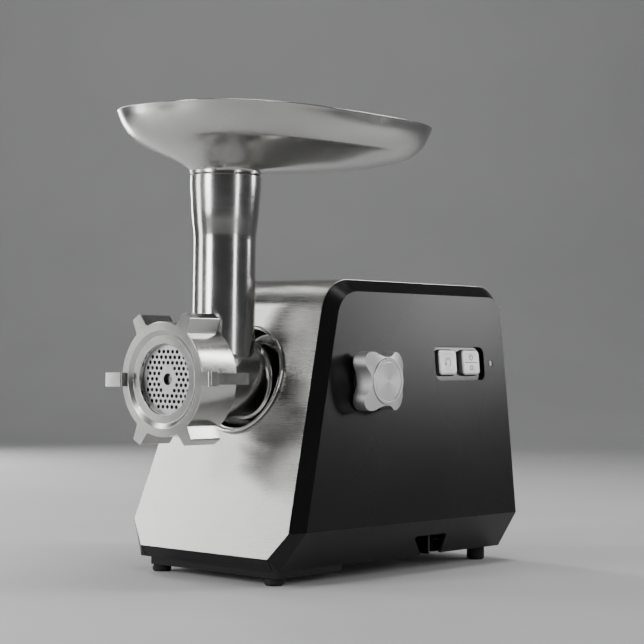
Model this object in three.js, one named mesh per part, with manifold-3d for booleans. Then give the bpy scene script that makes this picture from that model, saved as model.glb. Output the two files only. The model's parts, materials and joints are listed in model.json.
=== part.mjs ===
// Electric meat grinder, built as an assembly of separate pieces.
// Millimetres. +Z up, the front (hole plate) faces -Y, the controls are on the +X side.
// Pieces are drawn in the machine frame: X = 0 is the centre plane, Y = 0 the hole plate's face,
// Z = 0 the table. The finished group is moved so that the origin is the middle of its footprint.
import * as THREE from 'three';
import { mergeVertices } from 'three/addons/utils/BufferGeometryUtils.js';
import { ConvexGeometry } from 'three/addons/geometries/ConvexGeometry.js';
import Module from 'manifold-3d';

const wasm = await Module();
wasm.setup();

// ---------- driving dimensions ----------
const ORIGIN = { x: 4, y: 148 };      // middle of the footprint, in the machine frame
const AXIS_Z = 144.5;                 // auger and drive axis above the table
const GAP = 0.3;                      // clearance between neighbouring pieces

// body
const TOP_Z = 219;
const CREASE_Z = 39;                  // where the side face folds into the skirt
const SKIRT_Z = 11;                   // underside of the body
const STEEL_BOTTOM_Z = 19.6;
const FRONT_Y = 43;                   // slanted front at the crease
const FRONT_SLOPE = 0.328;
const REAR_Y = 313;
const HALF_WIDTH = 78;                // steel edge at the crease
const SIDE_TAPER = 0.1106;
const BEVEL = 9;
const SKIRT_HALF = 70;
const STEEL_FOOT_HALF = 63.8;         // steel half width at its bottom edge
const FRONT_RADIUS = 34;
const REAR_RADIUS = 24;
const SHEET = 1.2;
const COVER_WALL = 2.6;
const PANEL_TOP_Z = 150;              // rear panel under the steel

// feet
const FOOT = { x: 57, frontY: 52, rearY: 291, radius: 7 };
const PLINTH = { y0: 47, y1: 118, bottomZ: 5 };   // strip under the front that carries the front feet
const BASE_SCREW = { x: 50, frontY: 128, rearY: 228 };

// head
const PLATE = { radius: 31, thickness: 5, pitch: 4.5, holeRadius: 1.4, centreRadius: 4.2 };
const NUT = { frontY: -6, backY: 28, radius: 40.75, mouth: 34.75, step: 31.25, lip: 24.8, thread: 36 };
const LUG = { frontY: -5.7, backY: 23, reach: 51.5, tip: 8.4, root: 10.4, angles: [60, 120, 240, 300] };
const HANDLE = { frontY: -11.5, backY: 28, inner: 37, outer: 53.5, thick: 8, chamfer: 1.2, angles: [0, 180] };
const NUT_REST_ANGLE = 1.5;           // degrees that the tightened nut stands past level
const TUBE = { y: 55.8, radius: 22.7, bore: 20, top: 293, collar: 25.9 };
const BARREL = { radius: 27.5, neck: 27, bore: 24.5, seat: 31.4, shoulderY: 80, endY: 140 };
const AUGER = { radius: 24, core: 9.5, start: 14.5, end: 127, pitch: 27, web: 4 };
const SOCKET = { radius: 37.5, wall: 1.5, bottomY: 112 };

// tray
const TRAY = { rimZ: 339, halfX: 87, halfY: 130, centreY: 113, power: 2.72, wall: 1.4, spigot: 22 };

// controls, on the right side cover
const KNOB = { y: 131, baseX: 78.8, tipX: 95, lobeAt: 19, lobe: 8, waist: 17.6, cap: 16.8, chamferDrop: 4.5 };
const WINDOW = { y0: 213, y1: 276.5, z0: 144.3, z1: 170.3, corner: 5.5 };
const BUTTON = { width: 22.6, height: 19.4, z: 158, corner: 3.6, reverseY: 228.6, powerY: 258.4 };
const LENS = { y: 285, z: 157.3, halfY: 1.5, halfZ: 2.4 };
const GRIP = { z0: 10, z1: 27, frontTopY: 182, frontBottomY: 204, rearBottomY: 228, rearTopY: 222.5,
  floorX: 50, wall: 2, ribY: 213, ribX: 70 };

// drive: axes in (x, z), gear planes along y
const OUTPUT_AXIS = { x: 0, z: AXIS_Z };
const SECOND_AXIS = { x: -30, z: AXIS_Z - 40 };
const FIRST_AXIS = { x: SECOND_AXIS.x + 22.5, z: SECOND_AXIS.z - 30 };
const MOTOR_AXIS = { x: FIRST_AXIS.x + 27, z: FIRST_AXIS.z - 20.25 };
const CASE = { gearY: 152, backY: 212, wall: 3.2 };
const TEETH = { motor: 9, first: 45, firstPinion: 10, second: 40, secondPinion: 10, output: 40 };
const MODULE = { first: 1.25, second: 1.5, output: 2 };
const BOARD = { x0: 58, x1: 59.6, y0: 218, y1: 292, z0: 118, z1: 178 };
const INLET = { x: -40, z: 40, hole: 7.3 };       // cord inlet in the rear panel
const MOTOR = { plateFront: 218, plateRear: 290, plate: 3, radius: 36.5 };

// ---------- materials ----------
const finish = (color, roughness, metalness) => () =>
  new THREE.MeshStandardMaterial({ color, roughness, metalness });
const blackPlastic = finish(0x0b0b0c, 0.35, 0);
const brushedSteel = finish(0xb9b9b7, 0.35, 1);
const castMetal = finish(0xc4c3bf, 0.3, 1);
const trayMetal = finish(0xb4b3b0, 0.38, 1);
const toolSteel = finish(0xa5a6a8, 0.25, 1);
const silverPlastic = finish(0xc9cacb, 0.3, 0.8);
const rubber = finish(0x141414, 0.8, 0);
const darkSteel = finish(0x4a4b4d, 0.3, 1);
const gearPlastic = finish(0xdedbd0, 0.5, 0);
const copper = finish(0xb0703a, 0.35, 1);
const greenBoard = finish(0x1c5a35, 0.5, 0);
const lensPlastic = finish(0xf2f2ee, 0.15, 0);

// ---------- helpers ----------
const vec = (x, y, z) => new THREE.Vector3(x, y, z);
const point = (x, y) => new THREE.Vector2(x, y);

/** Closed geometry to a solid, with its faces turned outwards. */
function solid(geometry) {
  geometry.deleteAttribute('normal');
  geometry.deleteAttribute('uv');
  const merged = mergeVertices(geometry, 1e-4);
  const source = merged.index.array;
  const triangles = [];
  for (let i = 0; i < source.length; i += 3) {
    const [a, b, c] = [source[i], source[i + 1], source[i + 2]];
    if (a !== b && b !== c && c !== a) triangles.push(a, b, c);
  }
  const build = (list) => new wasm.Manifold(new wasm.Mesh({
    numProp: 3,
    vertProperties: new Float32Array(merged.attributes.position.array),
    triVerts: new Uint32Array(list),
  }));
  const body = build(triangles);
  if (body.volume() > 0) return body;
  for (let i = 0; i < triangles.length; i += 3) {
    [triangles[i + 1], triangles[i + 2]] = [triangles[i + 2], triangles[i + 1]];
  }
  return build(triangles);
}

const join = (first, ...rest) => rest.reduce((sum, piece) => sum.add(piece), first);
const cut = (first, ...rest) => rest.reduce((sum, piece) => sum.subtract(piece), first);
const mirrored = (body) => body.mirror([1, 0, 0]);

/** Solid to a named mesh. */
function piece(name, material, body) {
  const { vertProperties, triVerts } = body.getMesh();
  const geometry = new THREE.BufferGeometry();
  geometry.setAttribute('position', new THREE.BufferAttribute(vertProperties, 3));
  geometry.setIndex(new THREE.BufferAttribute(triVerts, 1));
  const mesh = new THREE.Mesh(geometry, material());
  mesh.name = name;
  return mesh;
}

const block = (x0, x1, y0, y1, z0, z1) => solid(new THREE.BoxGeometry(x1 - x0, y1 - y0, z1 - z0)
  .translate((x0 + x1) / 2, (y0 + y1) / 2, (z0 + z1) / 2));

/** Cylinder along Y or X. */
const rodY = (radius, y0, y1, at = OUTPUT_AXIS, sides = 24) => solid(
  new THREE.CylinderGeometry(radius, radius, y1 - y0, sides).translate(at.x, (y0 + y1) / 2, at.z));
const rodX = (radius, x0, x1, y, z, sides = 16) => solid(
  new THREE.CylinderGeometry(radius, radius, x1 - x0, sides).rotateZ(-Math.PI / 2)
    .translate((x0 + x1) / 2, y, z));

/** Turned part: [radius, along] pairs round an axis. */
function turned(profile, sides) {
  return new THREE.LatheGeometry(profile.map(([r, a]) => point(r, a)), sides);
}
const turnedY = (profile, at = OUTPUT_AXIS, sides = 32) => solid(
  turned(profile, sides).translate(at.x, 0, at.z));
const turnedX = (profile, y, z, sides = 24) => solid(
  turned(profile, sides).rotateZ(-Math.PI / 2).translate(0, y, z));
const turnedZ = (profile, x, y, sides = 32) => solid(
  turned(profile, sides).rotateX(Math.PI / 2).translate(x, y, 0));
const ringProfile = (inner, outer, a0, a1) => [
  [inner, a0], [outer, a0], [outer, a1], [inner, a1], [inner, a0]];

/** Prism: a 2-D outline with holes, drawn in (x, z), (y, z) or (x, y), extruded across. */
function extruded(outline, depth, holes = []) {
  const shape = new THREE.Shape(outline);
  shape.holes = holes.map((hole) => new THREE.Path(hole));
  return new THREE.ExtrudeGeometry(shape, { depth, bevelEnabled: false });
}
const prismAlongY = (outlineXZ, y0, y1, holes = []) => solid(
  extruded(outlineXZ, y1 - y0, holes).rotateX(Math.PI / 2).translate(0, y1, 0));
const prismAlongX = (outlineYZ, x0, x1, holes = []) => solid(
  extruded(outlineYZ, x1 - x0, holes).rotateY(Math.PI / 2).rotateX(Math.PI / 2).translate(x0, 0, 0));

/** Polygon whose corners are replaced by arcs tangent to both sides. */
function roundedOutline(corners, radii, steps = 8) {
  const outline = [];
  corners.forEach((corner, i) => {
    const radius = radii[i];
    const before = corners[(i + corners.length - 1) % corners.length];
    const after = corners[(i + 1) % corners.length];
    if (!radius) {
      outline.push(corner.clone());
      return;
    }
    const toBefore = before.clone().sub(corner).normalize();
    const toAfter = after.clone().sub(corner).normalize();
    const half = Math.acos(toBefore.dot(toAfter)) / 2;
    const reach = radius / Math.tan(half);
    const start = corner.clone().addScaledVector(toBefore, reach);
    const centre = toBefore.clone().add(toAfter).normalize()
      .multiplyScalar(radius / Math.sin(half)).add(corner);
    const from = start.clone().sub(centre).angle();
    let turn = corner.clone().addScaledVector(toAfter, reach).sub(centre).angle() - from;
    if (turn > Math.PI) turn -= 2 * Math.PI;
    if (turn < -Math.PI) turn += 2 * Math.PI;
    for (let k = 0; k <= steps; k += 1) {
      const angle = from + (turn * k) / steps;
      outline.push(point(centre.x + radius * Math.cos(angle), centre.y + radius * Math.sin(angle)));
    }
  });
  return outline;
}
const rectangle = (u0, u1, v0, v1) => [point(u0, v0), point(u1, v0), point(u1, v1), point(u0, v1)];
const roundedRectangle = (u0, u1, v0, v1, radius, steps = 4) => roundedOutline(
  rectangle(u0, u1, v0, v1), [radius, radius, radius, radius], steps);
const circle = (u, v, radius, sides) => Array.from({ length: sides }, (_, i) => {
  const angle = (2 * Math.PI * i) / sides;
  return point(u + radius * Math.cos(angle), v + radius * Math.sin(angle));
});

/** Surface through closed rings of equal count; the last ring joins the first. */
function closedLoft(rings) {
  const count = rings[0].length;
  const index = [];
  rings.forEach((_, r) => {
    const next = (r + 1) % rings.length;
    for (let i = 0; i < count; i += 1) {
      const j = (i + 1) % count;
      index.push(r * count + i, r * count + j, next * count + j);
      index.push(r * count + i, next * count + j, next * count + i);
    }
  });
  const geometry = new THREE.BufferGeometry().setFromPoints(rings.flat());
  geometry.setIndex(index);
  return solid(geometry);
}

// ---------- body envelope ----------
const frontAt = (z) => FRONT_Y + FRONT_SLOPE * (z - CREASE_Z);
const halfWidthAt = (z) => HALF_WIDTH - SIDE_TAPER * (z - CREASE_Z);

/** Side view of the body in (y, z), moved in by inset, cut off flat at the bottom. */
function sideOutline(inset, bottomZ) {
  const top = TOP_Z - inset;
  const rear = REAR_Y - inset;
  return roundedOutline(
    [point(frontAt(bottomZ) + inset, bottomZ), point(rear, bottomZ), point(rear, top),
      point(frontAt(top) + inset, top)],
    [0, 0, REAR_RADIUS - inset, FRONT_RADIUS - inset]);
}

/** Front view of what lies between the two covers, in (x, z). */
function middleOutline(grow, bottomZ = STEEL_BOTTOM_Z) {
  const right = [point(STEEL_FOOT_HALF + grow, bottomZ), point(STEEL_FOOT_HALF + grow, STEEL_BOTTOM_Z),
    point(HALF_WIDTH + grow, CREASE_Z - 1), point(halfWidthAt(TOP_Z + 20) + grow, TOP_Z + 20)];
  const left = right.map((p) => point(-p.x, p.y)).reverse();
  return [...right, ...left].filter((p, i, all) => !all[i - 1] || p.distanceTo(all[i - 1]) > 1e-6);
}

/** The body's outer shape, moved in by inset: slanted front, tapered sides, a bevel round each side.
 *  Below the skirt it runs on along the same slopes. */
function bodyEnvelope(inset, bottomZ) {
  const nearEdge = inset * Math.tan(Math.PI / 8);
  const points = [];
  const both = (x, y, z) => points.push(vec(x, y, z), vec(-x, y, z));
  for (const p of sideOutline(inset, CREASE_Z - 1)) both(halfWidthAt(p.y) - nearEdge, p.x, p.y);
  for (const p of sideOutline(BEVEL + nearEdge, CREASE_Z)) {
    both(halfWidthAt(p.y) + BEVEL - inset, p.x, p.y);
  }
  for (const y of [frontAt(STEEL_BOTTOM_Z) + inset, REAR_Y - inset]) {
    both(STEEL_FOOT_HALF - nearEdge, y, STEEL_BOTTOM_Z);
  }
  const further = (SKIRT_Z - bottomZ) / (CREASE_Z - SKIRT_Z);
  const halfBottom = SKIRT_HALF - inset - further * (HALF_WIDTH + BEVEL - SKIRT_HALF);
  const frontBottom = frontAt(SKIRT_Z) + BEVEL + inset + further * (BEVEL + frontAt(SKIRT_Z) - FRONT_Y);
  for (const y of [frontBottom, REAR_Y - BEVEL - inset - further * BEVEL]) both(halfBottom, y, bottomZ);
  return solid(new ConvexGeometry(points));
}

// ---------- body pieces ----------
const MIDDLE_BOTTOM = SKIRT_Z - 2;

function steelWrap() {
  const sheet = cut(
    prismAlongX(sideOutline(0, STEEL_BOTTOM_Z), -90, 90),
    prismAlongX(sideOutline(SHEET, STEEL_BOTTOM_Z - 5), -91, 91),
    block(-91, 91, REAR_Y - 40, REAR_Y + 5, 0, PANEL_TOP_Z),
    rodY(SOCKET.radius + GAP, 0, 130, OUTPUT_AXIS, 36));
  return sheet.intersect(prismAlongY(middleOutline(0), 0, REAR_Y + 5));
}

function rearPanel() {
  const thick = 3;
  const face = REAR_Y - 0.6;
  const panel = prismAlongY(middleOutline(-GAP), face - thick, face)
    .intersect(block(-90, 90, face - thick, face, STEEL_BOTTOM_Z + GAP, PANEL_TOP_Z - GAP));
  const slots = [];
  for (let row = 0; row < 7; row += 1) {
    const z = 62 + row * 9;
    slots.push(prismAlongY(roundedRectangle(-42, 42, z, z + 3.6, 1.7, 2), face - 5, face + 1));
  }
  return cut(panel, ...slots, rodY(INLET.hole, face - 5, face + 1, INLET, 24));
}

/** Right cover: the envelope outside the steel, hollow, open inwards and downwards. */
function coverShell() {
  const outside = block(20, 100, 0, REAR_Y + 5, SKIRT_Z, TOP_Z + 5);
  const shell = cut(
    bodyEnvelope(0, SKIRT_Z).intersect(outside),
    bodyEnvelope(COVER_WALL, SKIRT_Z - 6),
    prismAlongY(middleOutline(GAP, MIDDLE_BOTTOM), 0, REAR_Y + 5));
  return cut(shell, prismAlongX(gripOutline(0), 60, 95));
}

/** The grip hole in (y, z), grown by the thickness of a wall round it. */
function gripOutline(wall) {
  const { z0, z1, frontTopY, frontBottomY, rearBottomY, rearTopY } = GRIP;
  return [point(frontTopY - wall, z1 + wall), point(frontBottomY - wall, z0),
    point(rearBottomY + wall, z0), point(rearTopY + wall, z1 + wall)];
}

/** Walled pocket behind the right grip hole, with a stiffening rib that reaches out from its floor. */
function gripPocket() {
  const { floorX, wall, ribY, ribX, z1 } = GRIP;
  const outer = STEEL_FOOT_HALF - GAP;
  const shell = prismAlongX(gripOutline(wall), floorX - wall, outer)
    .intersect(block(0, outer, 0, REAR_Y, SKIRT_Z, z1 + wall));
  const rib = block(floorX - 1, ribX, ribY - wall / 2, ribY + wall / 2, SKIRT_Z, z1 + 1);
  return { shell, hollow: prismAlongX(gripOutline(0), floorX, outer + 1), rib };
}

/** Locating flange that runs under the edge of the steel, carried by the cover. */
function coverFlange() {
  const inset = SHEET + GAP;
  const rib = cut(
    prismAlongX(sideOutline(inset, CREASE_Z + 8), 40, 84),
    prismAlongX(sideOutline(inset + 2.2, CREASE_Z + 4), 39, 85),
    block(39, 91, REAR_Y - 40, REAR_Y + 5, 0, PANEL_TOP_Z + 6));
  const band = cut(
    prismAlongY(middleOutline(1.5, 0), 0, REAR_Y + 5),
    prismAlongY(middleOutline(-6, -10), -1, REAR_Y + 6));
  return rib.intersect(band);
}

function sideCoverRight() {
  const collar = rodX(19, 70, KNOB.baseX - 0.5, KNOB.y, AXIS_Z, 32)
    .intersect(block(halfWidthAt(AXIS_Z) + BEVEL - 5, 100, 0, 300, 0, 250));
  const window = prismAlongX(
    roundedRectangle(WINDOW.y0, WINDOW.y1, WINDOW.z0, WINDOW.z1, WINDOW.corner), 60, 90);
  const lensHole = rodX(2.9, 60, 90, LENS.y, LENS.z, 16);
  return cut(join(coverShell(), coverFlange(), collar), window, lensHole,
    rodX(5, 50, 100, KNOB.y, AXIS_Z, 24));
}

const sideCoverLeft = () => mirrored(join(coverShell(), coverFlange()));

function basePlate() {
  const half = STEEL_FOOT_HALF - GAP;
  const tub = bodyEnvelope(0, SKIRT_Z)
    .intersect(block(-half, half, 0, REAR_Y, SKIRT_Z, STEEL_BOTTOM_Z - GAP));
  const hollow = bodyEnvelope(COVER_WALL, SKIRT_Z - 6)
    .intersect(block(-half + 3, half - 3, 0, REAR_Y, SKIRT_Z + 2.8, 40));
  const plinth = block(-half, half, PLINTH.y0, PLINTH.y1, PLINTH.bottomZ, SKIRT_Z + 1);
  const vents = [];
  for (let row = 0; row < 6; row += 1) {
    const y = 236 + row * 8;
    vents.push(block(-24, 24, y, y + 3.4, SKIRT_Z - 2, SKIRT_Z + 5));
  }
  const pocket = gripPocket();
  const walled = join(cut(tub, hollow), plinth, pocket.shell, mirrored(pocket.shell));
  const open = cut(walled, pocket.hollow, mirrored(pocket.hollow), ...vents);
  return join(open, pocket.rib, mirrored(pocket.rib));
}

function foot(topZ) {
  const { radius } = FOOT;
  return turnedZ([[0, 0], [radius - 1, 0], [radius, 1.2], [radius, topZ - GAP], [0, topZ - GAP]], 0, 0, 16);
}

function baseScrew() {
  const low = SKIRT_Z - 1.9;
  const high = SKIRT_Z - GAP;
  return cut(
    turnedZ([[0, low], [3, low], [3.4, low + 0.4], [3.4, high], [0, high]], 0, 0, 10),
    block(-2, 2, -0.5, 0.5, low - 1, low + 0.7),
    block(-0.5, 0.5, -2, 2, low - 1, low + 0.7));
}

/** Bright bead that follows the socket's mouth across the slanted front. */
function socketRim() {
  const rings = [];
  const around = 36;
  const bead = 6;
  for (let i = 0; i < around; i += 1) {
    const angle = (2 * Math.PI * i) / around;
    const ring = [];
    for (let k = 0; k < bead; k += 1) {
      const turn = (2 * Math.PI * k) / bead;
      const radius = SOCKET.radius + 0.4 + 1.5 * Math.cos(turn);
      const z = AXIS_Z + radius * Math.sin(angle);
      ring.push(vec(radius * Math.cos(angle), frontAt(z) - 1.9 + 1.5 * Math.sin(turn), z));
    }
    rings.push(ring);
  }
  return closedLoft(rings);
}

function headSocket() {
  const cup = turnedY([
    [SOCKET.radius - SOCKET.wall, 40], [SOCKET.radius, 40], [SOCKET.radius, SOCKET.bottomY],
    [BARREL.neck + 0.8, SOCKET.bottomY], [BARREL.neck + 0.8, SOCKET.bottomY - 3],
    [SOCKET.radius - SOCKET.wall, SOCKET.bottomY - 3], [SOCKET.radius - SOCKET.wall, 40]], OUTPUT_AXIS, 36);
  return cup.intersect(prismAlongX(sideOutline(0.2, 60), -60, 60));
}

// ---------- head ----------
function grinderHead() {
  const front = 0.6;
  const outside = join(
    turnedY([[0, front], [34.6, front], [35.5, front + 1], [35.5, 24], [33, 29.5], [BARREL.radius, 32],
      [BARREL.radius, BARREL.shoulderY - 5], [30, BARREL.shoulderY - 4], [30, BARREL.shoulderY],
      [BARREL.neck, BARREL.shoulderY + 1], [BARREL.neck, BARREL.endY - 1], [BARREL.neck - 1, BARREL.endY],
      [0, BARREL.endY]], OUTPUT_AXIS, 36),
    turnedZ([[0, AXIS_Z], [TUBE.radius, AXIS_Z], [TUBE.radius, 249], [24.3, 261], [25.2, 275],
      [TUBE.collar, 284], [TUBE.collar, TUBE.top - 1], [TUBE.collar - 1, TUBE.top], [0, TUBE.top]],
    0, TUBE.y, 32));
  const inside = join(
    rodY(BARREL.seat, front - 1, 13.5, OUTPUT_AXIS, 36),
    rodY(BARREL.bore, 10, 134, OUTPUT_AXIS, 28),
    rodY(9, 130, BARREL.endY + 1, OUTPUT_AXIS, 20),
    turnedZ([[0, AXIS_Z], [TUBE.bore, AXIS_Z], [TUBE.bore, 280.5], [TRAY.spigot + 0.4, 280.7],
      [TRAY.spigot + 0.4, TUBE.top + 1], [0, TUBE.top + 1]], 0, TUBE.y, 28));
  return cut(outside, inside);
}

function auger() {
  const steps = 14 * (AUGER.end - AUGER.start) / AUGER.pitch;
  const rings = [];
  for (let i = 0; i <= steps; i += 1) {
    const y = AUGER.start + AUGER.web / 2 + ((AUGER.end - AUGER.start - AUGER.web) * i) / steps;
    const angle = (2 * Math.PI * (y - AUGER.start)) / AUGER.pitch;
    const at = (radius, along) => vec(radius * Math.cos(angle), along, AXIS_Z + radius * Math.sin(angle));
    rings.push([at(6, y - 2.8), at(AUGER.radius, y - AUGER.web / 2), at(AUGER.radius, y + AUGER.web / 2),
      at(6, y + 2.8)]);
  }
  const core = turnedY([[0, 12], [AUGER.core, 12], [AUGER.core + 3.5, AUGER.end], [22, AUGER.end],
    [22, 129], [8.6, 129], [8.6, BARREL.endY + 0.6], [0, BARREL.endY + 0.6]], OUTPUT_AXIS, 20);
  return join(core, openLoft(rings), rodY(3.7, 2.4, 13, OUTPUT_AXIS, 16),
    block(-5.4, 5.4, 5.6, 13, AXIS_Z - 5.4, AXIS_Z + 5.4),
    rodY(6.6, BARREL.endY, 149.2, OUTPUT_AXIS, 6));
}

/** Surface through four-sided rings, closed by a flat end at both ends. */
function openLoft(rings) {
  const last = rings.length - 1;
  const index = [0, 2, 1, 0, 3, 2];
  for (let r = 0; r < last; r += 1) {
    for (let i = 0; i < 4; i += 1) {
      const j = (i + 1) % 4;
      index.push(r * 4 + i, r * 4 + j, (r + 1) * 4 + j, r * 4 + i, (r + 1) * 4 + j, (r + 1) * 4 + i);
    }
  }
  index.push(last * 4, last * 4 + 1, last * 4 + 2, last * 4, last * 4 + 2, last * 4 + 3);
  const geometry = new THREE.BufferGeometry().setFromPoints(rings.flat());
  geometry.setIndex(index);
  return solid(geometry);
}

const augerWasher = () => turnedY(ringProfile(9, 21.5, 129.3, 133.4), OUTPUT_AXIS, 20);

function knife() {
  const hub = rodY(11.5, 5.5, 11.6, OUTPUT_AXIS, 24);
  const blades = [0, 1, 2, 3].map((k) => {
    const outline = [point(-4.5, 0), point(6.5, 0), point(4.5, 16), point(3.6, 29.6), point(-4.2, 28)];
    const turn = (Math.PI / 2) * k;
    return prismAlongY(outline.map((p) => p.clone().rotateAround(point(0, 0), turn).add(point(0, AXIS_Z))),
      5.5, 9.6);
  });
  return cut(join(hub, ...blades), block(-5.7, 5.7, 5, 13, AXIS_Z - 5.7, AXIS_Z + 5.7));
}

/** Hole centres on a triangular grid, five rows each side of the middle one. */
function holeCentres() {
  const spans = [[2.5, 4.5], [2, 4], [1.5, 4.5], [0, 4], [0.5, 3.5], [0, 2]];
  const centres = [];
  spans.forEach(([first, last], row) => {
    for (let offset = first; offset <= last; offset += 1) {
      for (const sideX of offset ? [-1, 1] : [1]) {
        for (const sideZ of row ? [-1, 1] : [1]) {
          centres.push(point(sideX * offset * PLATE.pitch,
            AXIS_Z + sideZ * row * PLATE.pitch * Math.sin(Math.PI / 3)));
        }
      }
    }
  });
  return centres;
}

function holePlate() {
  const holes = holeCentres().map((c) => circle(c.x, c.y, PLATE.holeRadius, 6));
  holes.push(circle(0, AXIS_Z, PLATE.centreRadius, 16));
  return prismAlongY(circle(0, AXIS_Z, PLATE.radius, 36), 0, PLATE.thickness, holes);
}

function ringNut() {
  const ring = turnedY([
    [NUT.thread, NUT.backY], [NUT.radius, NUT.backY], [NUT.radius, NUT.frontY + 1],
    [NUT.radius - 1, NUT.frontY], [NUT.mouth, NUT.frontY], [NUT.step, NUT.frontY + 2],
    [NUT.lip + 0.5, NUT.frontY + 2], [NUT.lip, NUT.frontY + 2.5], [NUT.lip, -GAP], [NUT.thread, -GAP],
    [NUT.thread, NUT.backY]], OUTPUT_AXIS, 40);
  const around = (outline, degrees, y0, y1) => {
    const turn = THREE.MathUtils.degToRad(degrees + NUT_REST_ANGLE);
    return prismAlongY(outline.map((p) => p.rotateAround(point(0, 0), turn).add(point(0, AXIS_Z))), y0, y1);
  };
  const sunk = NUT.radius - 3;          // a lug's root runs into the ring
  const lugs = LUG.angles.map((degrees) => {
    const upper = [point(sunk, LUG.root / 2), point(NUT.radius, LUG.root / 2),
      point(LUG.reach - 1, LUG.tip / 2), point(LUG.reach, LUG.tip / 2 - 1)];
    const lower = upper.map((p) => point(p.x, -p.y)).reverse();
    return around([...lower, ...upper], degrees, LUG.frontY, LUG.backY);
  });
  const { inner, outer, thick, chamfer } = HANDLE;
  const handles = HANDLE.angles.map((degrees) => around(
    [point(inner, -thick / 2), point(outer - chamfer, -thick / 2), point(outer, chamfer - thick / 2),
      point(outer, thick / 2 - chamfer), point(outer - chamfer, thick / 2), point(inner, thick / 2)],
    degrees, HANDLE.frontY, HANDLE.backY));
  return join(ring, ...lugs, ...handles);
}

// ---------- tray ----------
/** Oblong ring in plan at height z: a super-ellipse round (0, centreY). */
function oblong(z, halfX, halfY, centreY, power) {
  const count = 40;
  return Array.from({ length: count }, (_, i) => {
    const angle = (2 * Math.PI * i) / count;
    const along = (value) => Math.sign(value) * Math.abs(value) ** (2 / power);
    return vec(halfX * along(Math.cos(angle)), centreY + halfY * along(Math.sin(angle)), z);
  });
}

function hopperTray() {
  const round = (z, radius) => oblong(z, radius, radius, TUBE.y, 2);
  const { rimZ, halfX, halfY, centreY, power, wall, spigot } = TRAY;
  // [drop below the rim, side inset, end inset, shift of the centre to the tube]
  const bowl = [[9, 1.8, 2, 0], [15, 4, 4.5, 0], [17, 6.5, 7, 0.4], [23, 13, 14, 2], [29, 25, 27, 8],
    [34, 38, 46, 17], [38.5, 51, 73, 35], [42.5, 60, 101, 55.5]];
  const level = ([drop, side, end, shift], inward, up) => oblong(rimZ - drop + up, halfX - side - inward,
    halfY - end - inward, centreY - shift, power - (power - 2) * Math.min(1, drop / 43));
  return closedLoft([
    oblong(rimZ, halfX, halfY, centreY, power),
    ...bowl.map((row) => level(row, 0, 0)),
    round(TUBE.top + 2.6, TUBE.collar + 0.2), round(TUBE.top + GAP, TUBE.collar),
    round(TUBE.top + GAP, spigot), round(282, spigot), round(281, spigot - 0.6), round(281, spigot - 1.6),
    round(TUBE.top + 5, spigot - 1.6),
    ...bowl.slice(0, -1).reverse().map((row) => level(row, wall, wall)),
    oblong(rimZ, halfX - wall, halfY - wall, centreY, power)]);
}

// ---------- controls ----------
/** Four lobes joined by hollows; each hollow is an arc tangent to the lobes on both sides of it. */
function knobOutline(steps) {
  const { lobeAt, lobe, waist } = KNOB;
  const side = lobeAt * Math.SQRT1_2;                  // a lobe centre along and across a hollow's axis
  const hollowAt = (lobeAt ** 2 - (lobe - waist) ** 2) / (2 * (side + lobe - waist));
  const touch = Math.atan2(side, hollowAt - side);     // direction of the tangent point
  const outline = [];
  const arc = (along, turned, radius, from, to) => {
    const centre = point(along, 0).rotateAround(point(0, 0), turned);
    for (let k = 0; k < steps; k += 1) {
      const angle = turned + from + ((to - from) * k) / steps;
      outline.push(point(centre.x + radius * Math.cos(angle), centre.y + radius * Math.sin(angle)));
    }
  };
  for (let quarter = 0; quarter < 4; quarter += 1) {
    const hollowTurn = (Math.PI / 2) * quarter;
    const reach = Math.PI / 4 + touch;
    arc(hollowAt, hollowTurn, hollowAt - waist, Math.PI + touch, Math.PI - touch);
    arc(lobeAt, hollowTurn + Math.PI / 4, lobe, -reach, reach);
  }
  return outline;
}

function lockKnob() {
  const { baseX, tipX, lobeAt, lobe, cap, chamferDrop, y } = KNOB;
  const seat = cap + 0.4;
  const placed = knobOutline(6).map((p) => point(p.x + y, p.y + AXIS_Z));
  const slope = chamferDrop / (lobeAt + lobe - seat);
  const wide = lobeAt + lobe + 5;
  const cone = turnedX([[0, baseX - 1], [wide, baseX - 1], [wide, tipX - 1 - slope * (wide - seat)],
    [seat, tipX - 1], [0, tipX - 1]], y, AXIS_Z, 28);
  return cut(prismAlongX(placed, baseX, tipX).intersect(cone),
    rodX(seat, tipX - 2.6, tipX + 1, y, AXIS_Z, 28),
    rodX(4.3, baseX - 1, tipX - 5, y, AXIS_Z, 20));
}

function knobCap() {
  const { cap, tipX } = KNOB;
  return turnedX([[0, tipX - 2.3], [cap, tipX - 2.3], [cap, tipX - 0.7], [cap - 0.7, tipX], [cap - 2.4, tipX],
    [cap - 2.8, tipX - 0.5], [cap - 3.2, tipX], [0, tipX]], KNOB.y, AXIS_Z, 28);
}

const lockScrew = () => turnedX([[0, BARREL.neck + 0.4], [2.8, BARREL.neck + 0.4], [4, BARREL.neck + 1.6],
  [4, KNOB.tipX - 5.4], [0, KNOB.tipX - 5.4]], KNOB.y, AXIS_Z, 20);
const lockBushing = () => turnedX([[4.4, 32], [8, 32], [8, 36], [11, 36], [11, 39], [8, 39], [8, 47],
  [4.4, 47], [4.4, 32]], KNOB.y, AXIS_Z, 14);

const faceAt = (z) => halfWidthAt(z) + BEVEL;

/** A piece drawn upright at X = 0 is leaned and moved on to the tapered side face at height z. */
function onSideFace(geometry, z, outward) {
  const lean = Math.atan(SIDE_TAPER);
  return solid(geometry.translate(0, 0, -z).rotateY(-lean).translate(faceAt(z) + outward, 0, z));
}
const faceExtrusion = (outlineYZ, depth, holes = []) => extruded(outlineYZ, depth, holes)
  .rotateY(Math.PI / 2).rotateX(Math.PI / 2).translate(-depth, 0, 0);

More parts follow.
